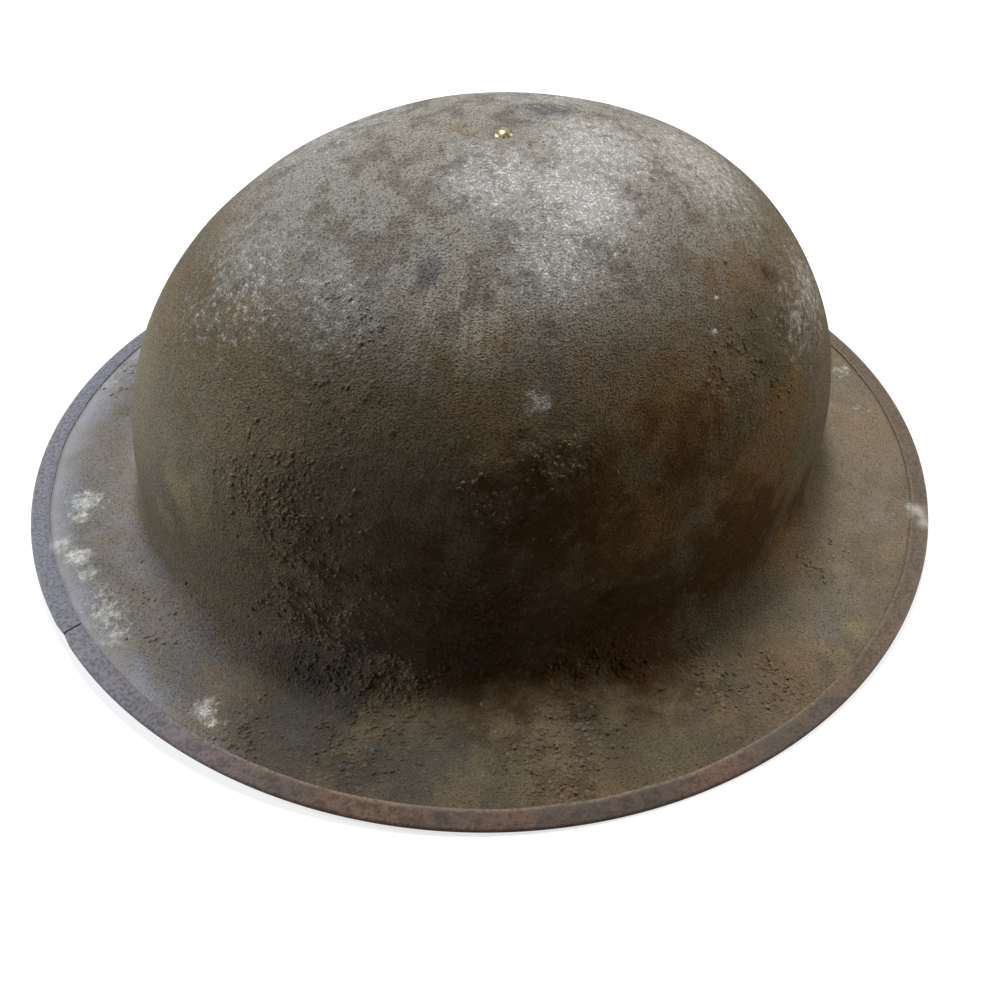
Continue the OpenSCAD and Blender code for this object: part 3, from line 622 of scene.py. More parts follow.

# Places of wear and of painted shade, sheen and highlight: share down the skin,
# degrees round from the front, reach in mm and strength
WEAR = {
    "rubbed": [
        (0.20, 285, 32, 0.9), (0.12, 250, 30, 0.7), (0.14, 330, 34, 0.8), (0.30, 268, 30, 0.6),
        (0.30, 345, 45, 0.6), (0.30, 60, 60, 0.5), (0.62, 318, 26, 0.4), (0.42, 215, 30, 0.35),
        (0.45, 190, 40, 0.4), (0.55, 259, 7, 0.7), (0.35, 130, 55, 0.4), (0.62, 330, 30, 0.5)],
    "coarse": [
        (0.96, 232, 46, 1.0), (0.95, 250, 40, 1.0), (0.78, 222, 40, 0.8), (1.6, 240, 34, 0.9),
        (2.3, 236, 34, 0.9), (2.5, 258, 24, 1.0), (2.3, 262, 22, 0.9), (2.3, 282, 22, 1.0),
        (2.55, 288, 20, 0.9), (0.72, 252, 34, 0.6), (2.6, 222, 24, 0.6), (0.62, 300, 40, 0.5),
        (0.66, 262, 24, 0.6), (0.52, 225, 40, 0.4), (2.3, 310, 30, 0.5), (2.2, 200, 30, 0.4),
        (0.9, 30, 40, 0.8), (2.4, 60, 35, 0.7), (0.9, 120, 35, 0.7), (2.4, 140, 30, 0.6),
        (1.7, 264, 24, 0.8), (2.0, 271, 24, 0.8)],
    "warm": [
        (1.5, 306, 26, 0.8), (0.74, 306, 30, 0.7), (0.80, 272, 46, 0.9), (0.66, 282, 40, 0.8),
        (0.60, 250, 30, 0.5), (0.86, 296, 44, 0.9), (2.5, 290, 38, 0.6), (2.4, 320, 40, 0.6),
        (0.50, 200, 30, 0.45), (2.75, 262, 36, 0.5), (0.45, 310, 34, 0.5), (2.3, 345, 34, 0.5),
        (0.6, 40, 40, 0.5), (1.8, 262, 26, 0.6), (0.7, 110, 40, 0.6), (2.5, 90, 40, 0.5)],
    # Grime with painted shade at the dome's foot and round its bend
    "grime_and_shade": [
        (1.0, 272, 50, 1.0), (0.98, 252, 46, 1.0), (0.95, 292, 44, 1.0), (1.3, 268, 40, 0.9),
        (0.78, 262, 50, 0.75), (0.72, 282, 46, 0.6), (0.85, 242, 36, 0.6), (0.98, 312, 22, 0.8),
        (0.6, 312, 12, 0.6), (0.5, 318, 10, 0.6), (0.85, 200, 20, 0.4), (0.95, 60, 44, 0.7),
        (0.95, 120, 50, 0.7), (2.7, 280, 14, 0.4), (2.35, 226, 34, 0.5), (2.6, 238, 30, 0.5)],
    # Bluish patches, with painted sheen on the brim's edge at the back
    "cool": [
        (0.32, 234, 9, 1.0), (0.38, 200, 18, 0.6), (0.25, 250, 9, 0.5), (0.26, 63, 26, 0.8),
        (0.10, 40, 22, 0.8), (0.86, 215, 34, 0.3), (2.4, 322, 26, 0.7), (2.5, 300, 14, 0.6),
        (2.9, 150, 34, 1.0), (2.9, 172, 30, 1.0), (2.9, 190, 26, 1.0), (2.9, 206, 24, 0.9),
        (2.9, 220, 22, 0.8), (1.5, 182, 14, 0.6), (2.5, 236, 24, 0.4)],
    "ochre": [
        (2.77, 297, 12, 0.9), (2.70, 303, 8, 0.8), (0.84, 201, 22, 0.9), (0.92, 196, 14, 0.6),
        (1.5, 203, 12, 0.6), (0.06, 150, 20, 0.6), (0.05, 260, 12, 0.5), (2.0, 266, 16, 0.45)],
    "chalk": [
        (2.30, 172, 11, 0.95), (2.38, 175, 8, 0.9), (2.68, 180, 8, 0.85), (2.49, 183, 9, 1.0),
        (2.44, 187, 7, 0.8), (2.46, 195, 13, 0.75), (2.40, 191, 9, 0.6), (2.55, 199, 10, 0.7),
        (2.57, 216, 8, 0.9), (2.64, 218, 6, 0.7), (2.94, 215, 6, 0.6), (2.87, 327, 9, 0.85),
        (2.95, 325, 6, 0.9), (0.52, 295, 2.4, 1.2), (0.47, 300, 2, 1.1), (2.7, 120, 8, 0.7),
        (2.5, 60, 9, 0.7), (2.74, 145, 7, 0.6), (2.55, 358, 8, 0.75), (2.4, 348, 9, 0.5)],
    # Painted shade, mostly on the brim at the back right and right
    "dark": [
        (2.35, 228, 44, 1.0), (2.6, 242, 40, 0.9), (2.45, 210, 30, 0.8), (0.50, 258, 40, 0.3),
        (2.5, 262, 34, 0.6), (2.5, 285, 34, 0.5)],
    "brushed": [
        (0.42, 246, 24, 1.0), (0.48, 242, 20, 0.9), (0.77, 243, 18, 0.4)],
}


def mark_wear(verts, layers):
    """Gives the vertices the strongest pull of the places of wear and of painted shade, sheen and
    highlight near them.
    """
    tree = KDTree(len(verts))
    for i, vert in enumerate(verts):
        tree.insert(vert.co, i)
    tree.balance()
    for name, layer in layers.items():
        for u, turn, reach, strength in WEAR[name]:
            for _, i, gap in tree.find_range(skin(u, radians(turn)), reach*MM):
                pull = strength*smooth_step(1 - gap/(reach*MM))
                verts[i][layer] = max(verts[i][layer], pull)


def dents(point):
    return (0.42*cloud(point, 46*MM) + 0.20*cloud(point, 21*MM, 3.0))*MM


def lumps(point, coarse):
    """How far crusts and clotted sand stand out at a point."""
    crust = 0.07*max(0.0, cloud(point, 6.5*MM, 7.0) + 0.1)
    clots = max(0.0, cloud(point, 4.6*MM, 5.0) + 0.15)**1.5
    clots += 0.8*max(0.0, cloud(point, 8.5*MM, 9.0))
    return (crust + 1.2*coarse*clots)*MM


def pale_veil(u, t):
    """Dusty film and painted sheen on the brim: strong at the back left, thin at the front right.
    """
    def facing(turn, least, full):
        return smooth_step((cos(t - radians(turn)) - least)/(full - least))

    back = 0.37*smooth_step((u - 0.9)/0.8) + 0.45*smooth_step((u - 2.3)/0.7)
    back = facing(168, 0.40, 0.95)*back
    wall = facing(178, 0.60, 1.0)*0.36*smooth_step((u - 0.45)/0.35)*smooth_step((1.25 - u)/0.45)
    front = facing(338, 0.30, 0.95)*0.40*smooth_step((u - 1.0)/0.9)
    foot = facing(212, 0.30, 0.90)*0.26*smooth_step((u - 0.65)/0.4)*smooth_step((1.7 - u)/0.5)
    return max(back, wall, front, foot)


def add_clods(bm, ground):
    """Grains of clotted sand, half sunk where the ground is coarse. They start as
    copies of one ball of radius 1, one above the other."""
    layers = bm.verts.layers.float
    coarse = layers["coarse"]
    part = bmesh.new()
    own = add_layers(part, *layers.keys())
    bmesh.ops.create_icosphere(part, subdivisions=1, radius=1)
    for i in range(DOUBLINGS):
        balls = part.verts[:] + part.edges[:] + part.faces[:]
        made = bmesh.ops.duplicate(part, geom=balls)["geom"]
        bmesh.ops.translate(part, verts=only_verts(made), vec=(0, 0, BALL_STEP*2**i))
    spots = [vert for vert in ground if vert[coarse] + 0.5*cloud(vert.co, 9*MM, 21.0)
             + 0.5*cloud(vert.co, 3*MM, 22.0) > 0.50]
    places = random.choices(spots, [vert[coarse] for vert in spots], k=2**DOUBLINGS)
    forms = []
    for place in places:
        r = random.uniform(0.28, 0.72)*MM
        turn = place.normal.to_track_quat("Z", "Y").to_matrix()
        turn @= Matrix.Rotation(TURN*random.random(), 3, "Z")
        aside, ahead = random.uniform(-0.8, 0.8)*MM, random.uniform(-0.8, 0.8)*MM
        shift = turn @ Vector((aside, ahead, -0.15*r))
        form = turn @ Matrix.Diagonal((r*random.uniform(1.0, 1.6), r, 0.6*r))
        forms.append((place.co + shift, form))
    for vert in part.verts:
        i = round(vert.co.z/BALL_STEP)
        middle, form = forms[i]
        on_ball = vert.co - Vector((0, 0, BALL_STEP*i))
        vert.co = middle + form @ (on_ball*random.uniform(0.8, 1.2))
        for name in layers.keys():
            vert[own[name]] = places[i][layers[name]]
        # Upper side of each clod, for its painted highlight
        vert[own["clod"]] = 0.5 + 0.5*on_ball.z
    join(bm, part)


def make_shell():
    """Pressed steel: a sheet is rolled up and laid on the real form, and its
    inner side is set back by the steel's thickness."""
    bm = bmesh.new()
    outer = [part + i/count for part, count in enumerate(SHELL_ROWS) for i in range(count)] + [3]
    inner = [3 - i/4 for i in range(8)] + [i/15 for i in range(15, -1, -1)]
    rows = [(u, 0) for u in outer] + [(u, 1) for u in inner]
    last = len(rows) - 1
    bmesh.ops.create_grid(bm, x_segments=SHELL_ROUND, y_segments=last, size=0.5)
    for vert in bm.verts:                       # rolled up, with the inner side a step above
        u, depth = rows[round((vert.co.y + 0.5)*last)]
        t = TURN*(vert.co.x + 0.5)
        vert.co = (u*cos(t), u*sin(t), depth)
    bmesh.ops.remove_doubles(bm, verts=bm.verts, dist=1e-6)
    layers = add_layers(bm, "turn", "down", "dust", "dust_sheen", "clod", *WEAR)
    share = {}
    for vert in bm.verts:
        u, t = hypot(vert.co.x, vert.co.y), atan2(vert.co.y, vert.co.x)
        share[vert] = u, vert.co.z < 0.5
        vert[layers["turn"]], vert[layers["down"]] = 60*MM*t, 5*MM*u
        vert[layers["dust"]] = smooth_step((0.66 - u)/0.42)
        vert[layers["dust_sheen"]] = pale_veil(u, t)
        vert.co = skin(u, t)
    bmesh.ops.recalc_face_normals(bm, faces=bm.faces)
    bm.normal_update()
    seen = [vert for vert in bm.verts if share[vert][1]]
    mark_wear(seen, {name: layers[name] for name in WEAR})
    moves = []
    for vert in bm.verts:
        u, above = share[vert]
        # Even under band and rivet
        calm = smooth_step((2.8 - u)/0.2)*smooth_step((u - 0.02)/0.05)
        lift = dents(vert.co)*calm
        lift += lumps(vert.co, vert[layers["coarse"]])*calm if above else -STEEL
        # The outer side looks out and up
        away = Vector((vert.co.x, vert.co.y, 100*MM))
        moves.append((vert, vert.normal*copysign(lift, lift*vert.normal.dot(away))))
    for vert, move in moves:
        vert.co += move
    add_clods(bm, seen)
    finish_mesh("steel_shell", bm, sanded_paint(), "helmet", "olive_painted_steel", "shell",
                sharp=60)


def make_rim_band():
    """Folded strip: its section is swept round the edge, open at the joint."""
    bm = bmesh.new()
    section = [(-BAND_W, -HALF_BAND), (-0.6*BAND_W, -HALF_BAND), (-0.25*BAND_W, -HALF_BAND)]
    section += [(HALF_BAND*cos(a), HALF_BAND*sin(a))
                for a in (radians(d) for d in range(-90, 91, 20))]
    section += [(-0.25*BAND_W, HALF_BAND), (-0.6*BAND_W, HALF_BAND),
                (-BAND_W + 0.12*MM, HALF_BAND), (-BAND_W, HALF_BAND - 0.1*MM), (-BAND_W, BAND_IN)]
    section += [(BAND_IN*cos(a), BAND_IN*sin(a))
                for a in (radians(d) for d in range(90, -91, -45))]
    section += [(-BAND_W, -BAND_IN)]
    # Spun as (distance out, height) on a circle of radius 1, then laid on the rim
    verts, ring = loop_of(bm, [Vector((1 + x, 0, y)) for x, y in section])
    half = JOINT_GAP/2/EDGE_A
    bmesh.ops.rotate(bm, verts=verts, cent=(0, 0, 0),
                     matrix=Matrix.Rotation(JOINT_TURN + half, 3, "Z"))
    bmesh.ops.spin(bm, geom=verts + ring, cent=(0, 0, 0), axis=(0, 0, 1), dvec=(0, 0, 0),
                   angle=TURN - 2*half, steps=BAND_ROUND, use_merge=False)
    bmesh.ops.holes_fill(bm, edges=[edge for edge in bm.edges if edge.is_boundary], sides=0)
    layers = add_layers(bm, "fold", "lip_highlight", "chalk", "cool")
    top_side = [vert for vert in bm.verts if vert.co.z > -0.5*HALF_BAND]
    for vert in bm.verts:
        t, y = atan2(vert.co.y, vert.co.x), vert.co.z
        x = hypot(vert.co.x, vert.co.y) - 1
        way, out = skin_way(3, t), skin_out(3, t)
        middle = skin(3, t) - out*STEEL/2
        vert[layers["fold"]] = smooth_step((x + 1.6*MM)/(2.2*MM))
        # Dusty film with painted sheen on the band
        vert[layers["cool"]] = pale_veil(3, t)
        # Painted highlight strip at the band's upper inner edge
        vert[layers["lip_highlight"]] = smooth_step((-x - 0.86*BAND_W)/(0.12*BAND_W))*(y > 0)
        off = (t - JOINT_TURN + pi) % TURN - pi       # direction from the joint
        near = smooth_step(1 - abs(off)/0.035)
        wave = (0.30*cloud(middle, 16*MM, 6.0) + 0.12*cloud(middle, 5*MM, 8.0))*MM
        swell = 0.10*MM*cloud(middle, 9*MM, 4.0) if x < -BAND_IN else 0.0
        vert.co = middle + way*(x + wave*smooth_step((-x - 0.4*BAND_W)/(0.5*BAND_W))
                                - 0.5*MM*near*smooth_step((x + BAND_W)/BAND_W))
        vert.co += out*(y + (swell if y > 0 else 0))
        vert.co.z = max(vert.co.z, 0.0)
    mark_wear(top_side, {"chalk": layers["chalk"]})
    finish_mesh("folded_band", bm, worn_band(), "helmet", "worn_rim_steel", "rim_band", sharp=50)


def make_crown_rivet():
    """Brass rivet: low domed head with a burred edge, shank and clenched tail."""
    bm = bmesh.new()
    top, tail = 122.9*MM, 116.19*MM
    # Distance out and height, in mm
    head = [(0, 1.6), (0.9, 1.52), (1.7, 1.22), (2.35, 0.75), (2.75, 0.32), (2.9, 0.1), (2.8, 0),
            (1.5, 0)]
    clench = [(1.5, 1.1), (3.2, 1.05), (3.3, 0.6), (2.9, 0.05), (1.2, -0.04), (0, -0.05)]
    line = [Vector((r*MM, 0, top + z*MM)) for r, z in head]
    line += [Vector((r*MM, 0, tail + z*MM)) for r, z in clench]
    verts, edges = chain(bm, line)
    spin_round(bm, verts + edges, steps=40)
    for vert in bm.verts:
        if vert.co.z > top + 0.05*MM:
            vert.co += Vector((cloud(vert.co, 2.2*MM, 1.0), cloud(vert.co, 2.2*MM, 2.0),
                               0.6*cloud(vert.co, 1.8*MM, 3.0) - 0.3))*0.18*MM
    brass = old_metal("aged brass", (0.26, 0.22, 0.13), (0.070, 0.055, 0.035), 1.0, 0.26, 1.3)
    finish_mesh("brass_rivet", bm, brass, "helmet", "aged_brass", "crown_rivet", sharp=50)


# ---------- Liner ----------

def circle_point(r, t, z):
    return Vector((r*cos(t), r*sin(t), z))


def oval_point(a, b, t, z):
    return Vector((a*cos(t), b*sin(t), z))


def oval_out(a, b, t):
    """Way that looks straight out of an oval."""
    return Vector((b*cos(t), a*sin(t), 0)).normalized()


def on_oval(a, b, point):
    """Carries a point near the circle of radius 1 to the same place by an oval."""
    t, off = atan2(point.y, point.x), hypot(point.x, point.y) - 1
    out = oval_out(a, b, t)
    return oval_point(a, b, t, point.z) + out*off, out


def add_stitches(bm, places, length, thick):
    """Short stitches, each a bevelled block at a place given by its matrix."""
    for place in places:
        made = bmesh.ops.create_cube(bm, size=1, matrix=place
                                     @ Matrix.Diagonal((length, thick, thick*0.9, 1)))
        edges = list({edge for vert in made["verts"] for edge in vert.link_edges})
        bmesh.ops.bevel(bm, geom=edges, offset=thick*0.28, segments=1, profile=0.5,
                        affect="EDGES", material=-1)


def make_headband(leather):
    """Leather band round the head, a little wavy, stitched along both edges."""
    bm = bmesh.new()
    mid, tall = (HEAD_LOW + HEAD_TOP)/2, HEAD_TOP - HEAD_LOW
    outline = [(1 + HEAD_T/2 + y, mid + x) for x, y in rounded_strip(tall - 0.1*MM, HEAD_T)]
    verts, ring = loop_of(bm, [Vector((x, 0, z)) for x, z in outline])
    spin_round(bm, verts + ring, steps=200)
    for vert in bm.verts:
        place, out = on_oval(HEAD_A, HEAD_B, vert.co)
        vert.co = place + out*0.12*MM*cloud(place, 18*MM, 2.0)
    places, count, inset = [], 150, 2.2*MM
    for z in (HEAD_LOW + inset, HEAD_TOP - inset):
        for i in range(count):
            place, out = on_oval(HEAD_A, HEAD_B, circle_point(1, TURN*i/count, z))
            axes = Matrix((UP.cross(out), out, UP)).transposed().to_4x4()
            places.append(Matrix.Translation(place - out*0.05*MM) @ axes)
    add_stitches(bm, places, 2.3*MM, 0.5*MM)
    finish_mesh("head_leather", bm, leather, "helmet", "brown_leather", "headband")


def arch_line(end, top):
    """Side line of a crown strap: upright end, rounded shoulder, flat top."""
    half = [(end, HEAD_TOP - TAB_H), (end, HEAD_TOP - 0.5*TAB_H)]
    for i in range(41):
        a = radians(90*i/40)
        half.append((FLAT_HALF + (end - FLAT_HALF)*cos(a)**(2/ARCH_POWER),
                     HEAD_TOP + (top - HEAD_TOP)*sin(a)**(2/ARCH_POWER)))
    return half + [(-x, z) for x, z in reversed(half)]


def make_crown_strap(name, reach, top, along_x, leather, node):
    """Leather strap from one side of the headband over the crown to the other."""
    bm = bmesh.new()
    line = arch_line(reach + STRAP_T/2, top - STRAP_T/2)
    points = [Vector((x, 0, z)) if along_x else Vector((0, x, z)) for x, z in line]
    wide = Vector((0, 1, 0)) if along_x else Vector((1, 0, 0))
    outline = rounded_strip(STRAP_W - 0.1*MM, STRAP_T - 0.02*MM, 0.35)
    sweep(bm, outline, stations_along(points, wide))
    finish_mesh(name, bm, leather, "helmet", "brown_leather", node)


def make_pad():
    """Felt pad under the crown, soft at its edges, dished by the head."""
    bm = bmesh.new()
    low, edge = PAD_TOP - PAD_T, PAD_TOP - 0.26*(PAD_R - FLAT_HALF)
    line = [(PAD_HOLE_R, low + 1*MM), (PAD_HOLE_R, PAD_TOP - 0.4*MM),
            (PAD_HOLE_R + 0.5*MM, PAD_TOP), (FLAT_HALF, PAD_TOP), (PAD_R - 1.6*MM, edge),
            (PAD_R - 0.3*MM, edge - 0.8*MM), (PAD_R, edge - 2*MM),
            (PAD_R - 0.8*MM, edge - PAD_T + 1*MM), (PAD_R - 2.4*MM, edge - PAD_T),
            (FLAT_HALF, low), (PAD_HOLE_R + 1*MM, low + 0.2*MM)]
    verts, ring = loop_of(bm, [Vector((r, 0, z)) for r, z in line])
    spin_round(bm, verts + ring, steps=72)
    bmesh.ops.subdivide_edges(bm, edges=bm.edges, cuts=1, use_grid_fill=True, smooth=0.35)
    for vert in bm.verts:
        vert.co.z -= 0.35*MM*max(0.0, cloud(vert.co, 7*MM, 2.0))
    piece = finish_mesh("felt_pad", bm, pressed_felt(), "helmet", "grey_felt", "crown_pad",
                        sharp=180)


def net_point(share, t):
    """Point of the net, at a share of the way from its mouth to the headband."""
    a, b = (NET_MOUTH + (reach + 0.2*MM - NET_MOUTH)*share for reach in (HEAD_A, HEAD_B))
    return oval_point(a, b, t, NET_Z + NET_RISE*(1 - share**NET_POWER))


def add_twine(bm, points, closed=False, r=TWINE_D/2):
    """Two-ply twine along a line: a waisted outline that turns as it goes."""
    outline = []
    for i in range(8):
        a = TURN*i/8
        waist = r*(0.72 + 0.28*abs(cos(a)))
        outline.append((waist*cos(a), waist*sin(a)))
    count = len(points)
    twist = TURN*round(count/9)/count if closed else 0.72

    def upright(point):
        return UP if closed else Vector((-point.y, point.x, 0))

    sweep(bm, outline, stations_along(points, upright, closed, twist), closed)


def add_knot(bm, place, out, r):
    """Flat overhand knot where two twines cross."""
    turn = out.to_track_quat("Z", "Y").to_matrix().to_4x4()
    form = Matrix.Translation(place) @ turn @ Matrix.Diagonal((r*1.25, r*1.05, r*0.85, 1))
    bmesh.ops.create_icosphere(bm, subdivisions=2, radius=1, matrix=form)


def make_net(twine):
    """Twine net on the head: twines lean both ways and are knotted together."""
    bm = bmesh.new()
    steps, hem, mouth = 84, 400, 108        # along a twine, round the hem and the mouth
    for i in range(TWINES):
        for way in (1, -1):
            add_twine(bm, [net_point(1 - k/steps, TURN*i/TWINES + way*NET_TWIST*k/steps)
                           for k in range(steps + 1)])
    add_twine(bm, [net_point(1, TURN*i/hem) for i in range(hem)], closed=True)
    add_twine(bm, [net_point(0, TURN*i/mouth) for i in range(mouth)], closed=True)
    knots = bmesh.new()
    crossings = int(2*NET_TWIST/(TURN/TWINES))
    for k in range(crossings + 1):
        share = 1 - k*(TURN/TWINES)/(2*NET_TWIST)
        for i in range(TWINES):
            t = TURN*(i + 0.5*k)/TWINES
            here = net_point(share, t)
            up = net_point(max(share - 0.02, 0), t) - here
            out = up.cross(net_point(share, t + 0.02) - here).normalized()
            add_knot(knots, here, out, TWINE_D*0.62)
    join(bm, knots)
    finish_mesh("twine_net", bm, twine, "helmet", "cotton_twine", "net")


def make_drawstring(twine):
    """String that gathers the net's mouth, with its small knot."""
    bm = bmesh.new()
    z, steps = NET_Z + NET_RISE + TWINE_D + SEAT, 160
    add_twine(bm, [circle_point(NET_MOUTH, TURN*i/steps, z) for i in range(steps)], closed=True,
              r=TWINE_D/2*1.02)
    add_knot(bm, Vector((NET_MOUTH, 0, z)), UP, TWINE_D*0.8)
    finish_mesh("gathering_string", bm, twine, "helmet", "cotton_twine", "net_drawstring")


def make_buffer_strip(leather):
    """Leather strip through the tubes, drawn to the headband between them."""
    bm = bmesh.new()
    points, steps = [], 360
    down, up = 0.053, 0.16          # shares of the pitch: lies on the headband, is in the tube
    for i in range(steps):
        t = TURN*i/steps
        pitch = t/(TURN/TUBES)
        dip = smooth_step((abs(pitch - round(pitch)) - down)/(up - down))
        low = oval_point(HEAD_A + HEAD_T, HEAD_B + HEAD_T, t, TUBE_Z)
        low += oval_out(TUBE_A, TUBE_B, t)*(SEAT + STRIP_T/2)
        points.append(low*(1 - dip) + oval_point(TUBE_A, TUBE_B, t, TUBE_Z)*dip)
    sweep(bm, rounded_strip(STRIP_W, STRIP_T, 0.3), stations_along(points, UP, True), True)
    finish_mesh("buffer_leather", bm, leather, "helmet", "brown_leather", "buffer_strip")


def make_tubes(rubber):
    """Twelve rubber tubes with rounded ends, each pressed a little flat."""
    bm = bmesh.new()
    for i in range(TUBES):
        t = (i + 0.5)*TURN/TUBES
        place, out = oval_point(TUBE_A, TUBE_B, t, TUBE_Z), oval_out(TUBE_A, TUBE_B, t)
        bend = ((TUBE_A*sin(t))**2 + (TUBE_B*cos(t))**2)**1.5/(TUBE_A*TUBE_B)
        one = bmesh.new()
        r, bore = TUBE_D/2, TUBE_D/2 - 2.2*MM
        line = [(bore, -0.5), (r - 0.5*MM, -0.5), (r, -0.483), (r, -0.3), (r, 0), (r, 0.3),
                (r, 0.483), (r - 0.5*MM, 0.5), (bore, 0.5), (bore, 0)]
        verts, ring = loop_of(one, [Vector((x, 0, z*TUBE_L)) for x, z in line])
        spin_round(one, verts + ring, steps=28)
        for vert in one.verts:
            along, side, up = vert.co.z, vert.co.x, vert.co.y
            turn = Matrix.Rotation(along/bend, 3, "Z")
            outside = vert.co.xy.length > bore*1.05
            dent = 1 - 0.03*(cloud(place + vert.co, 9*MM, 3.0) + 0.6)*outside
            vert.co = place - out*bend + turn @ (out*(bend + side*dent)) + up*dent*UP
        join(bm, one)
    finish_mesh("rubber_tubes", bm, rubber, "helmet", "black_rubber", "rubber_buffers")


# ---------- Chinstrap ----------

STOW = Matrix.Translation((0, 0, LUG_Z)) @ Matrix.Rotation(-TILT, 4, "Y")
FLIP = Matrix.Diagonal((1, -1, 1, 1))


def bar_at(side):
    """Axes of the strap's stretch at the left (1) or right (-1) bar, before stowing."""
    turn = Matrix.Rotation(pi + side*LEAN, 4, "Z")
    return Matrix.Translation((BAR_X, side*BAR_HALF, 0)) @ turn


def stretch_point(s, n):
    """Point of the left stretch at distance s from its bar, n inwards."""
    return Vector((BAR_X - s*cos(LEAN) + n*sin(LEAN),
                   BAR_HALF - s*sin(LEAN) - n*cos(LEAN), 0))


def bend_line(n):
    """From the end of the stretch round to the middle of the back."""
    start, end = stretch_point(STRETCH, n), Vector((-REACH_BACK, 0, 0))
    near = start - 17*MM*Vector((cos(LEAN), sin(LEAN), 0))
    far = Vector((-REACH_BACK, 28*MM, 0))
    made = []
    for i in range(25):
        k = i/24
        made.append(start*(1 - k)**3 + near*3*k*(1 - k)**2 + far*3*k*k*(1 - k) + end*k**3)
    return made


def eye_line(fold_side):
    """Leather round the bar, in the stretch's axes: from its folded end back to
    the strap's own line. fold_side is the side that the folded end lies on."""
    r, ply = WIRE_D/2 + EYE_GAP + CHIN_T/2, CHIN_T/2
    line = [Vector((x, ply*fold_side, 0)) for x in (FOLD_END, 10*MM, 7*MM, 5*MM)]
    for angle in range(50, 311, 20):
        a = radians(angle)
        line.append(Vector((r*cos(a), r*sin(a)*fold_side, 0)))
    return line + [Vector((x, -ply*fold_side, 0)) for x in (5*MM, 7*MM, 10*MM)]


def tipped_ribbon(bm, points, tip):
    """Ribbon of strap leather, half round at the end tip of its points."""
    stations, half = [], CHIN_W/2
    for station, point in zip(stations_along(points, UP), points):
        gap = (point - points[tip]).length
        share = sqrt(max(0.04, 1 - (1 - gap/half)**2)) if gap < half else 1.0
        stations.append(STOW @ station @ Matrix.Diagonal((share, 1, 1, 1)))
    sweep(bm, rounded_strip(CHIN_W, CHIN_T - 0.04*MM, 0.35), stations)


def tip_points(end, way, line_point):
    """Points of a line that crowd towards its end, where the tip is round."""
    return [line_point(end - way*CHIN_W/2*gap)
            for gap in (1.1, 0.8, 0.55, 0.35, 0.2, 0.09, 0.02, 0)]


def make_short_strap(leather):
    """Short part on the left bail, folded round the bar, with a round tip and two
    rows of stitches."""
    bm = bmesh.new()
    end, first, pitch = STRETCH - SHORT_SPARE, 12*MM, 3.2*MM
    line = eye_line(1)
    line += [Vector((x*MM, -CHIN_T/2, 0)) for x in range(14, 56, 6)]
    line += tip_points(end, 1, lambda x: Vector((x, -CHIN_T/2, 0)))
    tipped_ribbon(bm, [bar_at(1) @ point for point in line], -1)
    count, y = int((end - 9*MM - first)/pitch), -CHIN_T - 0.02*MM
    places = [STOW @ bar_at(1) @ Matrix.Translation((first + (i + 0.5)*pitch, y, z))
              for z in (1.6*MM - CHIN_W/2, CHIN_W/2 - 1.6*MM) for i in range(count)]
    add_stitches(bm, places, 2.2*MM, 0.45*MM)
    finish_mesh("short_strap", bm, leather, "chinstrap", "brown_leather", "chinstrap_short")


def make_long_strap(leather):
    """Long part: tail beside the short one, round the back, to the right bail."""
    bm = bmesh.new()
    inner = CHIN_SOFT + CHIN_T/2
    line = list(reversed(tip_points(TAIL_AT, -1, lambda s: stretch_point(s, inner))))
    line += [stretch_point(s*MM, inner) for s in range(32, 66, 6)]
    line += bend_line(inner)
    line += [FLIP @ point for point in reversed(bend_line(-CHIN_T/2)[:-1])]
    line += [FLIP @ stretch_point(s*MM, -CHIN_T/2) for s in range(62, 12, -6)]
    line += [bar_at(-1) @ point for point in reversed(eye_line(-1))]
    tipped_ribbon(bm, line, 0)
    finish_mesh("long_strap", bm, leather, "chinstrap", "brown_leather", "chinstrap_long")


def make_strap_loop(name, at, length, wall, material, body, slot, node, grip=0.0):
    """Flat loop round both parts of the strap, its edges rounded."""
    bm = bmesh.new()
    near, far, half = -CHIN_T - CHIN_SOFT, CHIN_T + 2*CHIN_SOFT, CHIN_W/2 + CHIN_SOFT
    for depth in (wall, 0.0):
        verts, _ = loop_of(bm, [Vector((at - length/2, y, z)) for y, z in (
            (near - depth, -half - depth), (far + depth, -half - depth),
            (far + depth, half + depth), (near - depth, half + depth))])
        bmesh.ops.bevel(bm, geom=verts, offset=wall*0.5 + depth*0.8, segments=3, profile=0.5,
                        affect="VERTICES", material=-1)
    bmesh.ops.bridge_loops(bm, edges=bm.edges[:])
    made = bmesh.ops.extrude_face_region(bm, geom=bm.faces[:])["geom"]
    bmesh.ops.translate(bm, verts=only_verts(made), vec=(length, 0, 0))
    bmesh.ops.recalc_face_normals(bm, faces=bm.faces)
    sharp = [edge for edge in bm.edges if edge.is_manifold and edge.calc_face_angle(0) > 1.0]
    bmesh.ops.bevel(bm, geom=sharp, offset=wall*0.22, segments=2, profile=0.5, affect="EDGES",
                    material=-1)
    if grip:
        points = [Vector((at, near - wall, z)) for z in (-half, -0.5*half, 0, 0.5*half, half)]
        outline = [(grip/2*cos(TURN*i/14), grip/2*sin(TURN*i/14)) for i in range(14)]
        sweep(bm, outline, stations_along(points, Vector((1, 0, 0))))
    bmesh.ops.transform(bm, matrix=STOW @ bar_at(1), verts=bm.verts)
    finish_mesh(name, bm, material, body, slot, node)


# ---------- Putting it together ----------

def past_object(tree):
    """1 for the rays that see past the helmet: camera, glossy and see-through ones."""
    paths = put(tree, "LightPath", {}).outputs
    seen = highest(paths["Is Camera Ray"], paths["Is Glossy Ray"])
    return highest(seen, paths["Is Transmission Ray"])


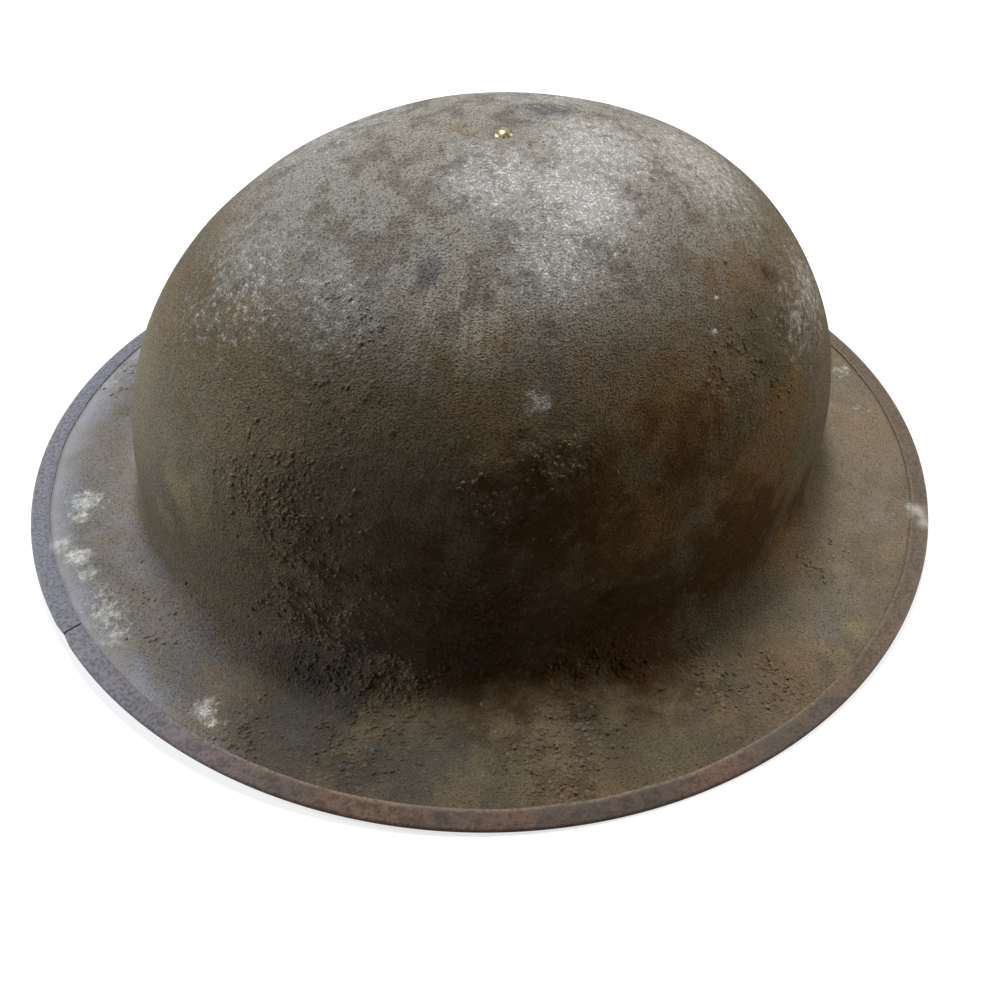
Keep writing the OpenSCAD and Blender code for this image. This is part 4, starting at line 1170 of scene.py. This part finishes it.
def set_stage():
    """Pale floor that keeps a soft shadow, and a white surround."""
    bm = bmesh.new()
    bmesh.ops.create_grid(bm, x_segments=2, y_segments=2, size=6)
    mesh = bpy.data.meshes.new("floor")
    bm.to_mesh(mesh)
    bm.free()
    floor = bpy.data.objects.new("floor", mesh)
    bpy.context.collection.objects.link(floor)
    floor.location.z = -0.02*MM
    material = bpy.data.materials.new("pale floor")
    material.use_nodes = True
    tree = material.node_tree
    tree.nodes.clear()
    card = put(tree, "BsdfDiffuse", {"Color": (0.34, 0.34, 0.34, 1)})
    point = put(tree, "TexCoord", {}).outputs["Object"]
    away = put(tree, "VectorMath", {0: point}, operation="LENGTH").outputs["Value"]
    white = times(past_object(tree), stretch(away, 0.35, 1.6, 0.74, 1.0))
    glow = put(tree, "Emission", {"Color": (1, 1, 1, 1), "Strength": white})
    both = put(tree, "AddShader", {0: card.outputs[0], 1: glow.outputs[0]})
    put(tree, "OutputMaterial", {"Surface": both.outputs[0]})
    mesh.materials.append(material)

    world = bpy.data.worlds.new("surround")
    bpy.context.scene.world = world
    world.use_nodes = True
    tree = world.node_tree
    tree.nodes.clear()
    room = put(tree, "Background", {"Color": (1.0, 0.88, 0.72, 1), "Strength": 0.10})
    bright = put(tree, "Background", {"Color": (1, 1, 1, 1), "Strength": 1.0})
    mix = put(tree, "MixShader", {0: past_object(tree), 1: room.outputs[0], 2: bright.outputs[0]})
    put(tree, "OutputWorld", {"Surface": mix.outputs[0]})


def dress_frame():
    """Gives the frame meshes that stay their own finish."""
    steel = old_metal("dull steel", (0.34, 0.32, 0.29), (0.17, 0.135, 0.105), 0.8, 0.42, 5.0)
    washer = old_metal("plated washer", (0.42, 0.41, 0.39), (0.20, 0.17, 0.14), 0.9, 0.35)
    tinned = old_metal("tinned rivets", (0.48, 0.47, 0.44), (0.22, 0.20, 0.17), 0.9, 0.38, 1.5)
    brass = old_metal("dark brass", (0.46, 0.35, 0.15), (0.16, 0.11, 0.05), 1.0, 0.32, 1.5)
    # Lug rivet heads as dark as the grime and painted shade on the shell round them
    painted = old_metal("painted rivets", (0.042, 0.022, 0.007), (0.026, 0.014, 0.005), 0.0, 0.8,
                        sheen=0.06)
    for material, nodes in ((steel, ("left_lug", "right_lug", "left_bail", "right_bail")),
                            (washer, ("crown_washer",)),
                            (tinned, ("crown_strap_rivets", "buffer_rivets")),
                            (brass, ("left_loop_rivet", "right_loop_rivet")),
                            (painted, ("left_lug_rivet", "right_lug_rivet"))):
        for node in nodes:
            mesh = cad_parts[node].data
            mesh.materials.clear()
            mesh.materials.append(material)
    return steel


def main():
    random.seed(7)
    bpy.context.scene.view_settings.view_transform = "Standard"
    set_camera()
    set_stage()
    hang_lamp("overhead", (0.04, 0.34, 0.94), 1.2, 0.30, 0.30, 18.5, (1.0, 0.99, 0.98))
    hang_lamp("left window", (-0.88, 0.38, 0.38), 1.3, 0.3, 0.5, 16, (0.84, 0.91, 1.0))
    hang_lamp("right lamp", (0.88, -0.08, 0.38), 1.3, 0.4, 0.4, 11, (1.0, 0.93, 0.82))

    make_shell()
    make_rim_band()
    make_crown_rivet()

    band_leather = old_leather("headband leather", (0.170, 0.092, 0.042), (0.088, 0.046, 0.022))
    strap_leather = old_leather("crown strap leather", (0.190, 0.108, 0.052),
                                (0.100, 0.055, 0.028), 1.1)
    chin_leather = old_leather("chinstrap leather", (0.125, 0.066, 0.032),
                               (0.060, 0.032, 0.017), 1.0)
    twine = twisted_twine("net twine", (0.50, 0.42, 0.29), (0.33, 0.26, 0.17))
    string = twisted_twine("drawstring twine", (0.36, 0.28, 0.18), (0.22, 0.17, 0.11))
    make_headband(band_leather)
    make_crown_strap("long_strap_over", HEAD_A + HEAD_T + SEAT, LONG_TOP, True, strap_leather,
                     "long_crown_strap")
    make_crown_strap("cross_strap_over", HEAD_B + HEAD_T + SEAT, CROSS_TOP, False, strap_leather,
                     "cross_crown_strap")
    make_pad()
    make_net(twine)
    make_drawstring(string)
    make_buffer_strip(strap_leather)
    make_tubes(old_rubber())

    steel = dress_frame()
    make_short_strap(chin_leather)
    make_long_strap(chin_leather)
    make_strap_loop("slide_loop", BUCKLE_AT, BUCKLE_L, BUCKLE_T, steel, "buckle", "dull_steel",
                    "slide_buckle", grip=2.2*BUCKLE_T)
    make_strap_loop("keeper_loop", KEEPER_AT, KEEPER_L, KEEPER_T, chin_leather, "keeper",
                    "brown_leather", "strap_keeper")


main()
